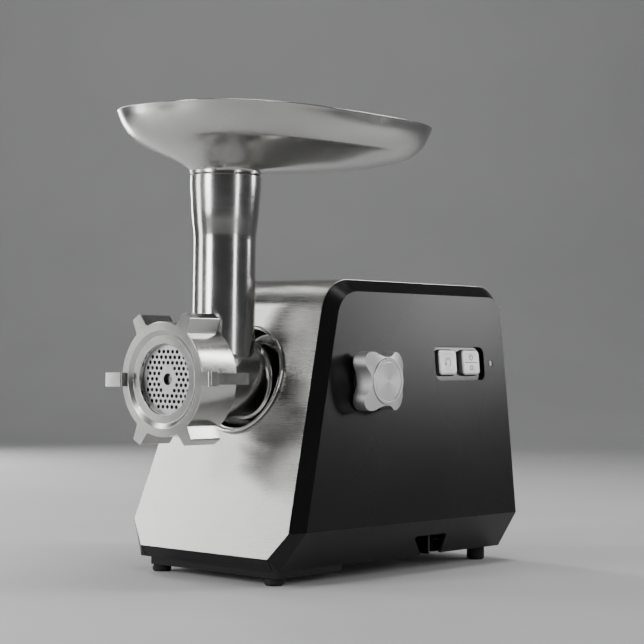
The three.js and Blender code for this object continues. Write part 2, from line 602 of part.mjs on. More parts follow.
function button(centreY, ridge) {
  const outline = (shrink) => roundedRectangle(centreY - BUTTON.width / 2 + shrink,
    centreY + BUTTON.width / 2 - shrink, BUTTON.z - BUTTON.height / 2 + shrink,
    BUTTON.z + BUTTON.height / 2 - shrink, BUTTON.corner - shrink, 4);
  const cap = join(onSideFace(faceExtrusion(outline(0), 7), BUTTON.z, 0),
    onSideFace(faceExtrusion(outline(0.9), 8), BUTTON.z, 0.8));
  if (!ridge) return cap;
  const groove = rectangle(centreY - BUTTON.width, centreY + BUTTON.width, BUTTON.z - 0.35, BUTTON.z + 0.35);
  return cut(cap, onSideFace(faceExtrusion(groove, 0.5), BUTTON.z, 0.85));
}

function buttonBezel() {
  const opening = (y) => roundedRectangle(y - BUTTON.width / 2 - 0.6, y + BUTTON.width / 2 + 0.6,
    BUTTON.z - BUTTON.height / 2 - 0.6, BUTTON.z + BUTTON.height / 2 + 0.6, BUTTON.corner + 0.4, 4);
  const frame = roundedRectangle(WINDOW.y0 - 4, WINDOW.y1 + 4, WINDOW.z0 - 4, WINDOW.z1 + 4, 5);
  return onSideFace(faceExtrusion(frame, 2.4, [opening(BUTTON.reverseY), opening(BUTTON.powerY)]),
    BUTTON.z, -COVER_WALL - 0.4);
}

const indicatorLens = () => {
  const lens = new THREE.CylinderGeometry(1, 1, 5, 20).rotateZ(-Math.PI / 2)
    .scale(1, LENS.halfY, LENS.halfZ).translate(-2.3, LENS.y, LENS.z);
  return onSideFace(lens, LENS.z, 0);
};

/** Coil spring behind a button: a wire swept along a helix. */
function buttonSpring(centreY) {
  class Helix extends THREE.Curve {
    getPoint(t, target = vec(0, 0, 0)) {
      const angle = 2 * Math.PI * 3.5 * t;
      return target.set(3.6 * t, centreY + 3 * Math.cos(angle), BUTTON.z + 3 * Math.sin(angle));
    }
  }
  const wire = new THREE.Shape(circle(0, 0, 0.35, 5));
  const coil = new THREE.ExtrudeGeometry(wire, { steps: 32, extrudePath: new Helix(), bevelEnabled: false });
  return solid(coil.translate(BOARD.x1 + 1, 0, 0));
}

function circuitBoard() {
  const switchBlock = (y) => block(BOARD.x1 - 0.1, BOARD.x1 + 0.5, y - 5, y + 5, BUTTON.z - 5, BUTTON.z + 5);
  return join(block(BOARD.x0, BOARD.x1, BOARD.y0, BOARD.y1, BOARD.z0, BOARD.z1),
    switchBlock(BUTTON.reverseY), switchBlock(BUTTON.powerY),
    block(BOARD.x0 - 12, BOARD.x0 + 0.1, 262, 282, 122, 142),
    rodX(6, BOARD.x0 - 16, BOARD.x0 + 0.1, 236, 132, 16),
    block(BOARD.x0 - 8, BOARD.x0 + 0.1, 244, 256, 150, 170));
}

// ---------- drive ----------
/** Spur gear along Y; tooth tips are slim enough to run with backlash. */
function gear(at, teeth, module, y0, y1, phase, bore) {
  const pitchRadius = (teeth * module) / 2;
  const tipRadius = pitchRadius + 0.75 * module;
  const rootRadius = pitchRadius - 1.1 * module;
  const tipHalf = (0.3 * module) / tipRadius;
  const rootHalf = (0.85 * module) / rootRadius;
  const outline = [];
  for (let k = 0; k < teeth; k += 1) {
    const centre = phase + (2 * Math.PI * k) / teeth;
    for (const [radius, offset] of [[rootRadius, -rootHalf], [tipRadius, -tipHalf], [tipRadius, tipHalf],
      [rootRadius, rootHalf]]) {
      const angle = centre + offset;
      outline.push(point(at.x + radius * Math.cos(angle), at.z + radius * Math.sin(angle)));
    }
  }
  return prismAlongY(outline, y0, y1, bore ? [circle(at.x, at.z, bore, 14)] : []);
}

/** Phase that puts a tooth, or a gap, on the line towards the mating gear. */
const toothTowards = (from, to) => Math.atan2(to.z - from.z, to.x - from.x);
const gapTowards = (from, to, teeth) => toothTowards(from, to) + Math.PI / teeth;

const motorPinion = () => gear(MOTOR_AXIS, TEETH.motor, MODULE.first, 198, 209,
  toothTowards(MOTOR_AXIS, FIRST_AXIS), 2.6);
const firstGear = () => gear(FIRST_AXIS, TEETH.first, MODULE.first, 199, 208,
  gapTowards(FIRST_AXIS, MOTOR_AXIS, TEETH.first), 4.6);
const secondGear = () => gear(SECOND_AXIS, TEETH.second, MODULE.second, 183, 194,
  gapTowards(SECOND_AXIS, FIRST_AXIS, TEETH.second), 5.1);
const outputGear = () => gear(OUTPUT_AXIS, TEETH.output, MODULE.output, 164, 178,
  gapTowards(OUTPUT_AXIS, SECOND_AXIS, TEETH.output), 9.9);

const firstShaft = () => join(
  rodY(4.3, CASE.gearY + CASE.wall + GAP, CASE.backY - GAP, FIRST_AXIS, 12),
  gear(FIRST_AXIS, TEETH.firstPinion, MODULE.second, 182, 195, toothTowards(FIRST_AXIS, SECOND_AXIS)));
const secondShaft = () => join(
  rodY(4.8, CASE.gearY + CASE.wall + GAP, CASE.backY - GAP, SECOND_AXIS, 12),
  gear(SECOND_AXIS, TEETH.secondPinion, MODULE.output, 162, 180, toothTowards(SECOND_AXIS, OUTPUT_AXIS)));

function outputShaft() {
  const socketAcross = 7.1;
  return cut(
    turnedY([[0, 141], [12.4, 141], [13.2, 141.8], [13.2, 147.7], [9.5, 147.7], [9.5, 206], [0, 206]],
      OUTPUT_AXIS, 20),
    rodY(socketAcross, 140, 150, OUTPUT_AXIS, 6));
}
const outputBearing = () => turnedY(ringProfile(9.8, 15.7, 155.6, 161.5), OUTPUT_AXIS, 20);

const caseLobes = (grow, y0, y1) => join(
  rodY(43.2 + grow, y0, y1, OUTPUT_AXIS, 28), rodY(32.8 + grow, y0, y1, SECOND_AXIS, 24),
  rodY(30.8 + grow, y0, y1, FIRST_AXIS, 24), rodY(8.5 + grow, y0, y1, MOTOR_AXIS, 12));

function gearboxCase() {
  const shell = cut(caseLobes(CASE.wall, CASE.gearY, CASE.backY),
    caseLobes(0, CASE.gearY + CASE.wall, CASE.backY + 1));
  const headBore = turnedY(ringProfile(BARREL.neck + 0.5, 31.4, SOCKET.bottomY + GAP, CASE.gearY + 1),
    OUTPUT_AXIS, 28);
  const bearingSeat = rodY(18, CASE.gearY + 1, 161, OUTPUT_AXIS, 20);
  return cut(join(shell, headBore, bearingSeat), rodY(16, 155.3, 162, OUTPUT_AXIS, 20),
    rodY(14, CASE.gearY - 1, 156, OUTPUT_AXIS, 20), rodX(4.6, 20, 40, KNOB.y, AXIS_Z, 20));
}

function gearboxCover() {
  const y0 = CASE.backY + GAP;
  return cut(caseLobes(CASE.wall, y0, y0 + 3.4), rodY(7.4, y0 - 1, y0 + 5, MOTOR_AXIS, 12));
}

function motorFrame() {
  const { plateFront, plateRear, plate, radius } = MOTOR;
  const backY = plateRear + plate;
  const endPlate = (y) => rodY(radius, y, y + plate, MOTOR_AXIS, 24);
  const strap = (side) => {
    const [low, high] = [radius - 2.1, radius + 0.5].map((reach) => MOTOR_AXIS.z + side * reach);
    return block(MOTOR_AXIS.x - 9, MOTOR_AXIS.x + 9, plateFront, backY,
      Math.min(low, high), Math.max(low, high));
  };
  const windows = [0, 1, 2, 3].map((k) => {
    const angle = Math.PI / 4 + (Math.PI / 2) * k;
    return rodY(7.5, plateFront - 1, backY + 1,
      { x: MOTOR_AXIS.x + 22 * Math.cos(angle), z: MOTOR_AXIS.z + 22 * Math.sin(angle) }, 8);
  });
  return cut(join(endPlate(plateFront), endPlate(plateRear), strap(1), strap(-1)), ...windows,
    rodY(7, plateFront - 1, backY + 1, MOTOR_AXIS, 14));
}

const motorStator = () => turnedY(ringProfile(23.2, 34, 238, 272), MOTOR_AXIS, 24);
const fieldWinding = (y0, y1) => turnedY([[23.6, y0], [31, y0], [32.5, y0 + 1.5], [32.5, y1 - 1.5], [31, y1],
  [23.6, y1], [23.6, y0]], MOTOR_AXIS, 20);
const motorRotor = () => turnedY([[0, 196], [2.3, 196], [2.3, 211.5], [4, 211.5], [4, 236], [22.4, 236],
  [22.4, 274], [6, 274], [6, 278], [10.5, 278], [10.5, 286], [4, 286], [4, 297], [0, 297]], MOTOR_AXIS, 16);
const motorBearing = (y0) => turnedY(ringProfile(4.3, 6.7, y0, y0 + 3), MOTOR_AXIS, 14);

function motorFan() {
  const hub = turnedY(ringProfile(4.3, 8, 222.5, 229), MOTOR_AXIS, 12);
  const disc = turnedY(ringProfile(7, 30, 222.5, 223.7), MOTOR_AXIS, 20);
  const vanes = Array.from({ length: 9 }, (_, k) => {
    const turn = (2 * Math.PI * k) / 9;
    const outline = rectangle(7.5, 29, -0.6, 0.6).map((p) => p.rotateAround(point(0, 0), turn)
      .add(point(MOTOR_AXIS.x, MOTOR_AXIS.z)));
    return prismAlongY(outline, 223.2, 229);
  });
  return join(hub, disc, ...vanes);
}

const carbonBrush = (side) => {
  const inner = MOTOR_AXIS.x + side * 10.9;
  const outer = MOTOR_AXIS.x + side * 27;
  return block(Math.min(inner, outer), Math.max(inner, outer), 279, 285,
    MOTOR_AXIS.z - 3.5, MOTOR_AXIS.z + 3.5);
};

const circuitBreaker = () => join(block(-58, -42, 232, 262, SKIRT_Z + 3.2, 44),
  rodY(4, 262, 270, { x: -50, z: 30 }, 12));
const cableGland = () => turnedY([[3.6, 300], [7, 300], [7, REAR_Y - 0.3], [9.5, REAR_Y - 0.3], [9.5, REAR_Y],
  [5, REAR_Y], [3.6, REAR_Y - 1.4], [3.6, 300]], INLET, 16);

// ---------- assembly ----------
function buildMachine() {
  const machine = new THREE.Group();
  const housing = new THREE.Group();
  housing.add(
    piece('side_cover_right', blackPlastic, sideCoverRight()),
    piece('side_cover_left', blackPlastic, sideCoverLeft()),
    piece('steel_wrap', brushedSteel, steelWrap()),
    piece('rear_panel', blackPlastic, rearPanel()),
    piece('base_plate', blackPlastic, basePlate()),
    piece('socket_rim', castMetal, socketRim()),
    piece('head_socket', darkSteel, headSocket()),
    piece('button_bezel', blackPlastic, buttonBezel()),
    piece('indicator_lens', lensPlastic, indicatorLens()),
    piece('lock_bushing', toolSteel, lockBushing()),
    piece('circuit_board', greenBoard, circuitBoard()),
    piece('button_spring_reverse', toolSteel, buttonSpring(BUTTON.reverseY)),
    piece('button_spring_power', toolSteel, buttonSpring(BUTTON.powerY)),
    piece('circuit_breaker', blackPlastic, circuitBreaker()),
    piece('cable_gland', rubber, cableGland()));

  for (const [sideName, side] of [['right', 1], ['left', -1]]) {
    const front = piece(`foot_front_${sideName}`, rubber, foot(PLINTH.bottomZ));
    front.position.set(side * FOOT.x, FOOT.frontY, 0);
    const rear = piece(`foot_rear_${sideName}`, rubber, foot(SKIRT_Z));
    rear.position.set(side * FOOT.x, FOOT.rearY, 0);
    housing.add(front, rear);
    for (const [endName, y] of [['front', BASE_SCREW.frontY], ['rear', BASE_SCREW.rearY]]) {
      const screw = piece(`base_screw_${endName}_${sideName}`, toolSteel, baseScrew());
      screw.position.set(side * BASE_SCREW.x, y, 0);
      housing.add(screw);
    }
  }

  const controls = new THREE.Group();
  controls.add(
    piece('lock_knob', silverPlastic, lockKnob()),
    piece('knob_cap', silverPlastic, knobCap()),
    piece('lock_screw', toolSteel, lockScrew()),
    piece('button_reverse', silverPlastic, button(BUTTON.reverseY, false)),
    piece('button_power', silverPlastic, button(BUTTON.powerY, true)));

  const head = new THREE.Group();
  head.add(
    piece('grinder_head', castMetal, grinderHead()),
    piece('auger', castMetal, auger()),
    piece('auger_washer', gearPlastic, augerWasher()),
    piece('knife', toolSteel, knife()),
    piece('hole_plate', toolSteel, holePlate()),
    piece('ring_nut', castMetal, ringNut()),
    piece('hopper_tray', trayMetal, hopperTray()));

  const drive = new THREE.Group();
  drive.add(
    piece('gearbox_case', darkSteel, gearboxCase()),
    piece('gearbox_cover', darkSteel, gearboxCover()),
    piece('output_shaft', toolSteel, outputShaft()),
    piece('output_bearing', toolSteel, outputBearing()),
    piece('output_gear', gearPlastic, outputGear()),
    piece('second_shaft', toolSteel, secondShaft()),
    piece('second_gear', gearPlastic, secondGear()),
    piece('first_shaft', toolSteel, firstShaft()),
    piece('first_gear', gearPlastic, firstGear()),
    piece('motor_frame', toolSteel, motorFrame()),
    piece('motor_stator', darkSteel, motorStator()),
    piece('field_winding_front', copper, fieldWinding(230.3, 237.7)),
    piece('field_winding_rear', copper, fieldWinding(272.3, 278.6)),
    piece('motor_rotor', toolSteel, motorRotor()),
    piece('motor_fan', gearPlastic, motorFan()),
    piece('motor_pinion', toolSteel, motorPinion()),
    piece('motor_bearing_front', toolSteel, motorBearing(MOTOR.plateFront)),
    piece('motor_bearing_rear', toolSteel, motorBearing(MOTOR.plateRear)),
    piece('carbon_brush_right', darkSteel, carbonBrush(1)),
    piece('carbon_brush_left', darkSteel, carbonBrush(-1)));

  machine.add(housing, controls, head, drive);
  machine.position.set(-ORIGIN.x, -ORIGIN.y, 0);
  return machine;
}

export default buildMachine();
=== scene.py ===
"""Looks of the electric meat grinder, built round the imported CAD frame.

Pieces are drawn in millimetres in the machine frame: x = 0 is the centre plane, y = 0 the face of the
hole plate, z = 0 the table. place() turns them into metres in the frame of the CAD model.
"""
import json
import math

import bmesh
import bpy
from mathutils import Matrix, Vector


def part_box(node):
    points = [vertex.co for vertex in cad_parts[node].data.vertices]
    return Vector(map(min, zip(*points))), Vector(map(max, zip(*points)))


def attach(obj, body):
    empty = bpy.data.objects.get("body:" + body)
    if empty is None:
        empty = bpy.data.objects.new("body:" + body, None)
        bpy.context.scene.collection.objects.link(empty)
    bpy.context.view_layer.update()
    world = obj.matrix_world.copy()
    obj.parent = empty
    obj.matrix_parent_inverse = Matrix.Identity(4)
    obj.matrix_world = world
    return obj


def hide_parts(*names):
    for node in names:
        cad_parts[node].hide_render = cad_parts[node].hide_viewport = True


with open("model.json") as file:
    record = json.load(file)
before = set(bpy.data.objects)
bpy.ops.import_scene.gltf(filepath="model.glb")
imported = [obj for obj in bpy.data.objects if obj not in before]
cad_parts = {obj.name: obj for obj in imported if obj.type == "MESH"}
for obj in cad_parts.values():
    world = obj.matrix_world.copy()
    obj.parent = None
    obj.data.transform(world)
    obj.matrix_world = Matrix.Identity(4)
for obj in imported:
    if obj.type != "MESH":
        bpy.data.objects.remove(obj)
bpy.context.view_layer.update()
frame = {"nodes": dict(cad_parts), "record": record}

# ---------- sizes, in millimetres ----------
MM = 0.001
plate_low, plate_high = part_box("hole_plate")      # the one pair kept in metres: it sets ORIGIN
ORIGIN = Vector(((plate_low.x + plate_high.x) / 2, plate_low.y, 0))
AXIS_Z = (plate_low.z + plate_high.z) / 2 / MM


def machine(corner):
    """A point of the CAD model, in the machine frame."""
    return (corner - ORIGIN) / MM


wrap_low, wrap_high = (machine(c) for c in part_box("steel_wrap"))
cover_low, cover_high = (machine(c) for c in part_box("side_cover_right"))
tray_low, tray_high = (machine(c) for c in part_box("hopper_tray"))
head_low, head_high = (machine(c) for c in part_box("grinder_head"))
nut_low, nut_high = (machine(c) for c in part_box("ring_nut"))
knob_low, knob_high = (machine(c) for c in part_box("lock_knob"))
cap_low, cap_high = (machine(c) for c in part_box("knob_cap"))
socket_low, socket_high = (machine(c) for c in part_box("head_socket"))

GAP = 0.3
TOP_Z = wrap_high.z
REAR_Y = wrap_high.y
SKIRT_Z = cover_low.z
STEEL_BOTTOM_Z = wrap_low.z
CREASE_Z = 39                     # where the side face folds into the skirt
FRONT_Y = 43                      # slanted front at the crease
FRONT_SLOPE = 0.328
HALF_WIDTH = 78                   # steel edge at the crease
SIDE_TAPER = 0.1106
BEVEL = 9
SKIRT_HALF = 70
STEEL_FOOT_HALF = 63.8
FRONT_RADIUS = 34
REAR_RADIUS = 24
SHEET = 1.2
COVER_WALL = 2.6
PANEL_TOP_Z = 150
GRIP = [(182, 27), (204, 10), (228, 10), (222.5, 27)]   # corners in (y, z)
WINDOW = {"y0": 213, "y1": 276.5, "z0": 144.3, "z1": 170.3, "corner": 5.5}
BUTTON = {"half_y": 11.3, "half_z": 9.7, "z": 158, "corner": 3.6, "reverse_y": 228.6, "power_y": 258.4}
LENS = {"y": 285, "z": 157.3, "half_y": 1.5, "half_z": 2.4}
KNOB_Y = (knob_low.y + knob_high.y) / 2
TUBE_Y = 55.8
SOCKET_RADIUS = (socket_high.x - socket_low.x) / 2
TRAY_Y = (tray_low.y + tray_high.y) / 2
ROUND = 96                        # sides of a large turned part

# ---------- camera ----------
# place in metres, angles in degrees
CAMERA = {"at": (0.9312, -1.0530, 0.1704), "azimuth": 41.159, "pitch": 0.711, "roll": 0.789, "lens": 102.53}


def make_camera():
    azimuth, pitch, roll = (math.radians(CAMERA[k]) for k in ("azimuth", "pitch", "roll"))
    away = Vector((-math.sin(azimuth), math.cos(azimuth), 0))
    forward = away * math.cos(pitch) + Vector((0, 0, math.sin(pitch)))
    level_right = Vector((math.cos(azimuth), math.sin(azimuth), 0))
    level_up = level_right.cross(forward)
    right = math.cos(roll) * level_right + math.sin(roll) * level_up
    up = math.cos(roll) * level_up - math.sin(roll) * level_right
    data = bpy.data.cameras.new("camera")
    data.lens = CAMERA["lens"]
    camera = bpy.data.objects.new("camera", data)
    camera.matrix_world = Matrix((right, up, -forward)).transposed().to_4x4()
    camera.matrix_world.translation = Vector(CAMERA["at"])
    bpy.context.scene.collection.objects.link(camera)
    bpy.context.scene.camera = camera


make_camera()


# ---------- shader helpers ----------
RING_SCALE = 7.0                  # turning marks, in noise cells for each millimetre
# Near-white colour painted on the edges of turned metal as a highlight.
EDGE_HIGHLIGHT_COLOUR = (0.93, 0.92, 0.9, 1)


class Shader:
    """A node material with one Principled shader and short ways to wire textures to it."""

    def __init__(self, name, **sockets):
        self.material = bpy.data.materials.new(name)
        self.material.use_nodes = True
        self.tree = self.material.node_tree
        self.surface = self.tree.nodes["Principled BSDF"]
        for key, value in sockets.items():
            self.surface.inputs[key.replace("_", " ")].default_value = value

    def node(self, kind, inputs=None, **settings):
        made = self.tree.nodes.new(kind)
        for key, value in settings.items():
            setattr(made, key, value)
        for key, value in (inputs or {}).items():
            if isinstance(value, bpy.types.NodeSocket):
                self.tree.links.new(value, made.inputs[key])
            else:
                made.inputs[key].default_value = value
        return made

    def link(self, output, key):
        self.tree.links.new(output, self.surface.inputs[key])

    def place(self):
        """Object coordinates, in millimetres."""
        coordinates = self.node("ShaderNodeTexCoord").outputs["Object"]
        scaled = self.node("ShaderNodeVectorMath", {0: coordinates, "Scale": 1 / MM}, operation="SCALE")
        return scaled.outputs[0]

    def vector_math(self, operation, first, second):
        return self.node("ShaderNodeVectorMath", {0: first, 1: second}, operation=operation)

    def math(self, operation, first, second):
        return self.node("ShaderNodeMath", {0: first, 1: second}, operation=operation).outputs[0]

    def stretched(self, factors):
        return self.vector_math("MULTIPLY", self.place(), factors).outputs[0]

    def turned(self, axis, centre):
        """Coordinates that are constant round an axis, as the marks of a lathe are."""
        offset = self.vector_math("SUBTRACT", self.place(), centre).outputs[0]
        plane = [0.0 if k == axis else 1.0 for k in "XYZ"]
        flat = self.vector_math("MULTIPLY", offset, plane).outputs[0]
        radius = self.node("ShaderNodeVectorMath", {0: flat}, operation="LENGTH").outputs["Value"]
        depth = self.node("ShaderNodeSeparateXYZ", {0: offset}).outputs[axis]
        wide = self.math("MULTIPLY", radius, RING_SCALE)
        deep = self.math("MULTIPLY", depth, RING_SCALE)
        return self.node("ShaderNodeCombineXYZ", {"X": wide, "Y": deep}).outputs[0]

    def noise(self, vector, scale=1.0, detail=3.0, rough=0.55):
        return self.node("ShaderNodeTexNoise", {"Vector": vector, "Scale": scale, "Detail": detail,
                                               "Roughness": rough}).outputs["Fac"]

    def spread(self, value, low, high, source=(0.3, 0.7)):
        return self.node("ShaderNodeMapRange", {"Value": value, "From Min": source[0], "From Max": source[1],
                                               "To Min": low, "To Max": high}).outputs["Result"]

    def mix(self, factor, first, second):
        """Blend of two colours; on a colour mix node, sockets 6 and 7 are its inputs and 2 its result."""
        mixed = self.node("ShaderNodeMix", {"Factor": factor, 6: first, 7: second}, data_type="RGBA")
        return mixed.outputs[2]

    def tint(self, factor, dark, light):
        return self.mix(factor, (*dark, 1), (*light, 1))

    def edge(self, radius_mm, strength=1.0):
        """1 on edges, 0 on flat ground: the mask of the painted edge highlight and of the glossier edges."""
        rounded = self.node("ShaderNodeBevel", {"Radius": radius_mm * MM}, samples=4).outputs[0]
        straight = self.node("ShaderNodeNewGeometry").outputs["Normal"]
        close = self.vector_math("DOT_PRODUCT", rounded, straight).outputs["Value"]
        return self.spread(close, strength, 0.0, (0.80, 0.995))

    def bump(self, height, distance_mm, strength=1.0):
        made = self.node("ShaderNodeBump", {
            "Height": height, "Distance": distance_mm * MM, "Strength": strength})
        self.link(made.outputs[0], "Normal")


def plastic(name, dark, light, roughness, grain=0.02, specular=0.5, edge_highlight=0.12):
    """Moulded plastic: spark-eroded grain, faint mottling, edges painted lighter as a highlight and made
    glossier.
    """
    shader = Shader(name, Specular_IOR_Level=specular)
    where = shader.place()
    mottle = shader.noise(where, 0.03, 2)
    fine = shader.noise(where, 2.2, 2)
    # Edge mask: the edges are painted a lighter colour as a highlight, and are made glossier.
    highlit_edges = shader.edge(0.9, edge_highlight)
    base = shader.tint(shader.spread(mottle, 0, 1), dark, light)
    # Painted highlight: the edges' colour is lighter than the plastic.
    painted_highlight_colour = [min(1, c * 1.6 + 0.015) for c in light]
    shader.link(shader.mix(highlit_edges, base, (*painted_highlight_colour, 1)), "Base Color")
    stains = shader.noise(where, 0.012, 2, 0.4)
    smudge = shader.spread(stains, roughness * 0.94, roughness * 1.06, (0.2, 0.8))
    rubbed = shader.math("SUBTRACT", smudge, shader.math("MULTIPLY", highlit_edges, 0.5))
    shader.link(rubbed, "Roughness")
    shader.bump(fine, grain, 0.6)
    return shader.material


def brushed(name, tone, roughness, factors, spread=0.12, anisotropy=0.6, turn=0.0, depth=0.012):
    """Straight-grained metal: long scratches along the axis with the smallest factor."""
    shader = Shader(name, Metallic=1.0, Anisotropic=anisotropy, Anisotropic_Rotation=turn)
    grain = shader.noise(shader.stretched(factors), 1.0, 5, 0.65)
    cloud = shader.noise(shader.place(), 0.025, 3)
    dark = [c * (1 - spread) for c in tone]
    light = [min(1, c * (1 + spread)) for c in tone]
    shader.link(shader.tint(shader.spread(grain, 0, 1), dark, light), "Base Color")
    fine = shader.spread(grain, roughness * 0.9, roughness * 1.12)
    slow = shader.spread(cloud, -0.012, 0.012)
    shader.link(shader.math("ADD", fine, slow), "Roughness")
    shader.bump(grain, depth, 0.7)
    tangent = shader.node("ShaderNodeTangent", direction_type="RADIAL", axis="X")
    shader.link(tangent.outputs[0], "Tangent")
    return shader.material


def lathed(name, tone, roughness, axis, centre, spread, depth, anisotropy=0.35, edge_highlight=0.0, cast=0.0):
    """Turned metal: fine rings round an axis, slow stains, an optional painted edge highlight and cast skin.
    """
    shader = Shader(name, Metallic=1.0, Anisotropic=anisotropy)
    rings = shader.noise(shader.turned(axis, centre), 1.0, 5, 0.7)
    where = shader.place()
    cloud = shader.noise(where, 0.04, 4)
    dark = [c * (1 - spread) for c in tone]
    light = [min(1, c * (1 + spread)) for c in tone]
    base = shader.tint(shader.spread(rings, 0, 1), dark, light)
    # Painted highlight: the edges' colour is mixed towards near-white.
    if edge_highlight:
        base = shader.mix(shader.edge(0.8, edge_highlight), base, EDGE_HIGHLIGHT_COLOUR)
    shader.link(base, "Base Color")
    fine = shader.spread(rings, roughness * 0.8, roughness * 1.2)
    slow = shader.spread(cloud, -0.035, 0.035)
    shader.link(shader.math("ADD", fine, slow), "Roughness")
    height = rings
    if cast:
        skin = shader.noise(where, 1.1, 3)
        height = shader.math("ADD", rings, shader.math("MULTIPLY", skin, cast))
    shader.bump(height, depth, 0.7)
    tangent = shader.node("ShaderNodeTangent", direction_type="RADIAL", axis=axis)
    shader.link(tangent.outputs[0], "Tangent")
    return shader.material


def at_mm(x, y, z):
    """A machine-frame point as the millimetres that Object coordinates give."""
    return (x + ORIGIN.x / MM, y + ORIGIN.y / MM, z)


AXIS_POINT = at_mm(0, 0, AXIS_Z)
TUBE_POINT = at_mm(0, TUBE_Y, 0)
KNOB_POINT = at_mm(0, KNOB_Y, AXIS_Z)

# The seventh value given to plastic() (0.12 when left out) and the ninth given to lathed() set how strongly a
# highlight is painted on the edges.
MATERIALS = {
    "black_plastic": plastic("black plastic", (0.0065, 0.0065, 0.007), (0.0085, 0.0085, 0.009),
                             0.27, 0.008, 0.32),
    "brushed_steel": brushed("brushed steel", (0.55, 0.545, 0.53), 0.27, (0.06, 9, 9),
                             0.04, 0.7, 0.25, 0.0003),
    # The cup's tone, darker than the other metal, is painted shade and dark reflection inside the recessed
    # socket.
    "socket_metal": lathed("polished cup", (0.42, 0.42, 0.415), 0.13, "Y", AXIS_POINT, 0.1, 0.003),
    "polished_metal": lathed("polished bead", (0.8, 0.79, 0.77), 0.12, "Y", AXIS_POINT, 0.05, 0.003),
    "cast_metal": lathed("cast metal", (0.6, 0.595, 0.58), 0.2, "Y", AXIS_POINT, 0.06, 0.005, 0.3, 0.5, 0.4),
    "tray_metal": lathed("tray metal", (0.56, 0.555, 0.54),
                         0.23, "Z", TUBE_POINT, 0.05, 0.003, 0.2, 0.0, 1.2),
    "tool_steel": lathed("tool steel", (0.55, 0.55, 0.555), 0.3, "Y", AXIS_POINT, 0.04, 0.001),
    "silver_plastic": lathed("silver finish", (0.78, 0.78, 0.785),
                             0.46, "X", KNOB_POINT, 0.04, 0.003, 0.3, 0.5),
    "rubber": plastic("rubber", (0.012, 0.012, 0.012), (0.02, 0.02, 0.019), 0.72, 0.05, 0.3, 0.05),
    "gear_plastic": plastic("gear plastic", (0.6, 0.57, 0.48), (0.7, 0.67, 0.58), 0.45, 0.03, 0.5, 0.1),
    "gearbox_alloy": lathed("gearbox alloy", (0.36, 0.36, 0.365),
                            0.42, "Y", AXIS_POINT, 0.06, 0.03, 0.0, 0.3, 1.5),
    "stator_steel": brushed("stator laminations", (0.2, 0.2, 0.21), 0.45, (0.3, 6.0, 0.3), 0.25, 0.0),
    "copper": brushed("enamelled copper", (0.55, 0.24, 0.09), 0.3, (0.6, 2.6, 0.6), 0.25, 0.0),
    "carbon": plastic("carbon", (0.02, 0.02, 0.02), (0.035, 0.035, 0.035), 0.6, 0.03, 0.4, 0.1),
    "board_green": plastic("board", (0.012, 0.08, 0.03), (0.02, 0.12, 0.045), 0.4, 0.02, 0.5, 0.1),
    "lens_white": plastic("lens", (0.8, 0.8, 0.77), (0.88, 0.88, 0.86), 0.18, 0.004, 0.6, 0.0),
}
TUBE_METAL = lathed("turned tube", (0.6, 0.595, 0.58), 0.18, "Z", TUBE_POINT, 0.06, 0.004, 0.35, 0.4)
GLOSS_BLACK = plastic("gloss black", (0.006, 0.006, 0.006), (0.009, 0.009, 0.009), 0.14, 0.003, 0.55, 0.15)
# Near-black colour painted on the walls of the plate's holes as the shade inside them.
HOLE_SHADE = plastic("painted hole shade", (0.012, 0.012, 0.012), (0.02, 0.02, 0.02), 0.5, 0.01, 0.3, 0.0)
INK = plastic("printed ink", (0.05, 0.05, 0.055), (0.07, 0.07, 0.075), 0.45, 0.004, 0.4, 0.0)


# ---------- mesh helpers, in millimetres of the machine frame ----------
def mesh_object(name, points, faces):
    mesh = bpy.data.meshes.new(name)
    mesh.from_pydata([tuple(ORIGIN + Vector(p) * MM) for p in points], [], faces)
    made = bpy.data.objects.new(name, mesh)
    bpy.context.scene.collection.objects.link(made)
    edit(made, lambda form: bmesh.ops.recalc_face_normals(form, faces=form.faces))
    return made


def edit(piece, change):
    form = bmesh.new()
    form.from_mesh(piece.data)
    change(form)
    form.to_mesh(piece.data)
    form.free()


def apply_modifiers(piece):
    bpy.context.view_layer.update()
    seen = piece.evaluated_get(bpy.context.evaluated_depsgraph_get())
    mesh = bpy.data.meshes.new_from_object(seen)
    piece.modifiers.clear()
    piece.data = mesh
    return piece


def combine(piece, operation, *others):
    """Boolean of piece with each other; the others are used up."""
    for other in others:
        modifier = piece.modifiers.new("boolean", "BOOLEAN")
        modifier.operation = operation
        modifier.solver = "EXACT"
        modifier.object = other
        apply_modifiers(piece)
        bpy.data.objects.remove(other)
    return piece


def cut(piece, *others):
    return combine(piece, "DIFFERENCE", *others)


def join(piece, *others):
    return combine(piece, "UNION", *others)


def common(piece, *others):
    return combine(piece, "INTERSECT", *others)


def soften(piece, width=0.5, segments=2, angle=28):
    """Round the sharp edges and shade the rest smoothly."""
    edit(piece, lambda form: bmesh.ops.dissolve_limit(
        form, angle_limit=math.radians(0.5), verts=form.verts, edges=form.edges))
    if width:
        modifier = piece.modifiers.new("edges", "BEVEL")
        modifier.width = width * MM
        modifier.segments = segments
        modifier.limit_method = "ANGLE"
        modifier.angle_limit = math.radians(angle)
        modifier.miter_outer = "MITER_ARC"
        apply_modifiers(piece)
    return smooth(piece, angle + 8)


def smooth(piece, angle=35):
    piece.data.shade_smooth()
    piece.data.set_sharp_from_angle(angle=math.radians(angle))
    weighted = piece.modifiers.new("normals", "WEIGHTED_NORMAL")
    weighted.keep_sharp = True
    return piece


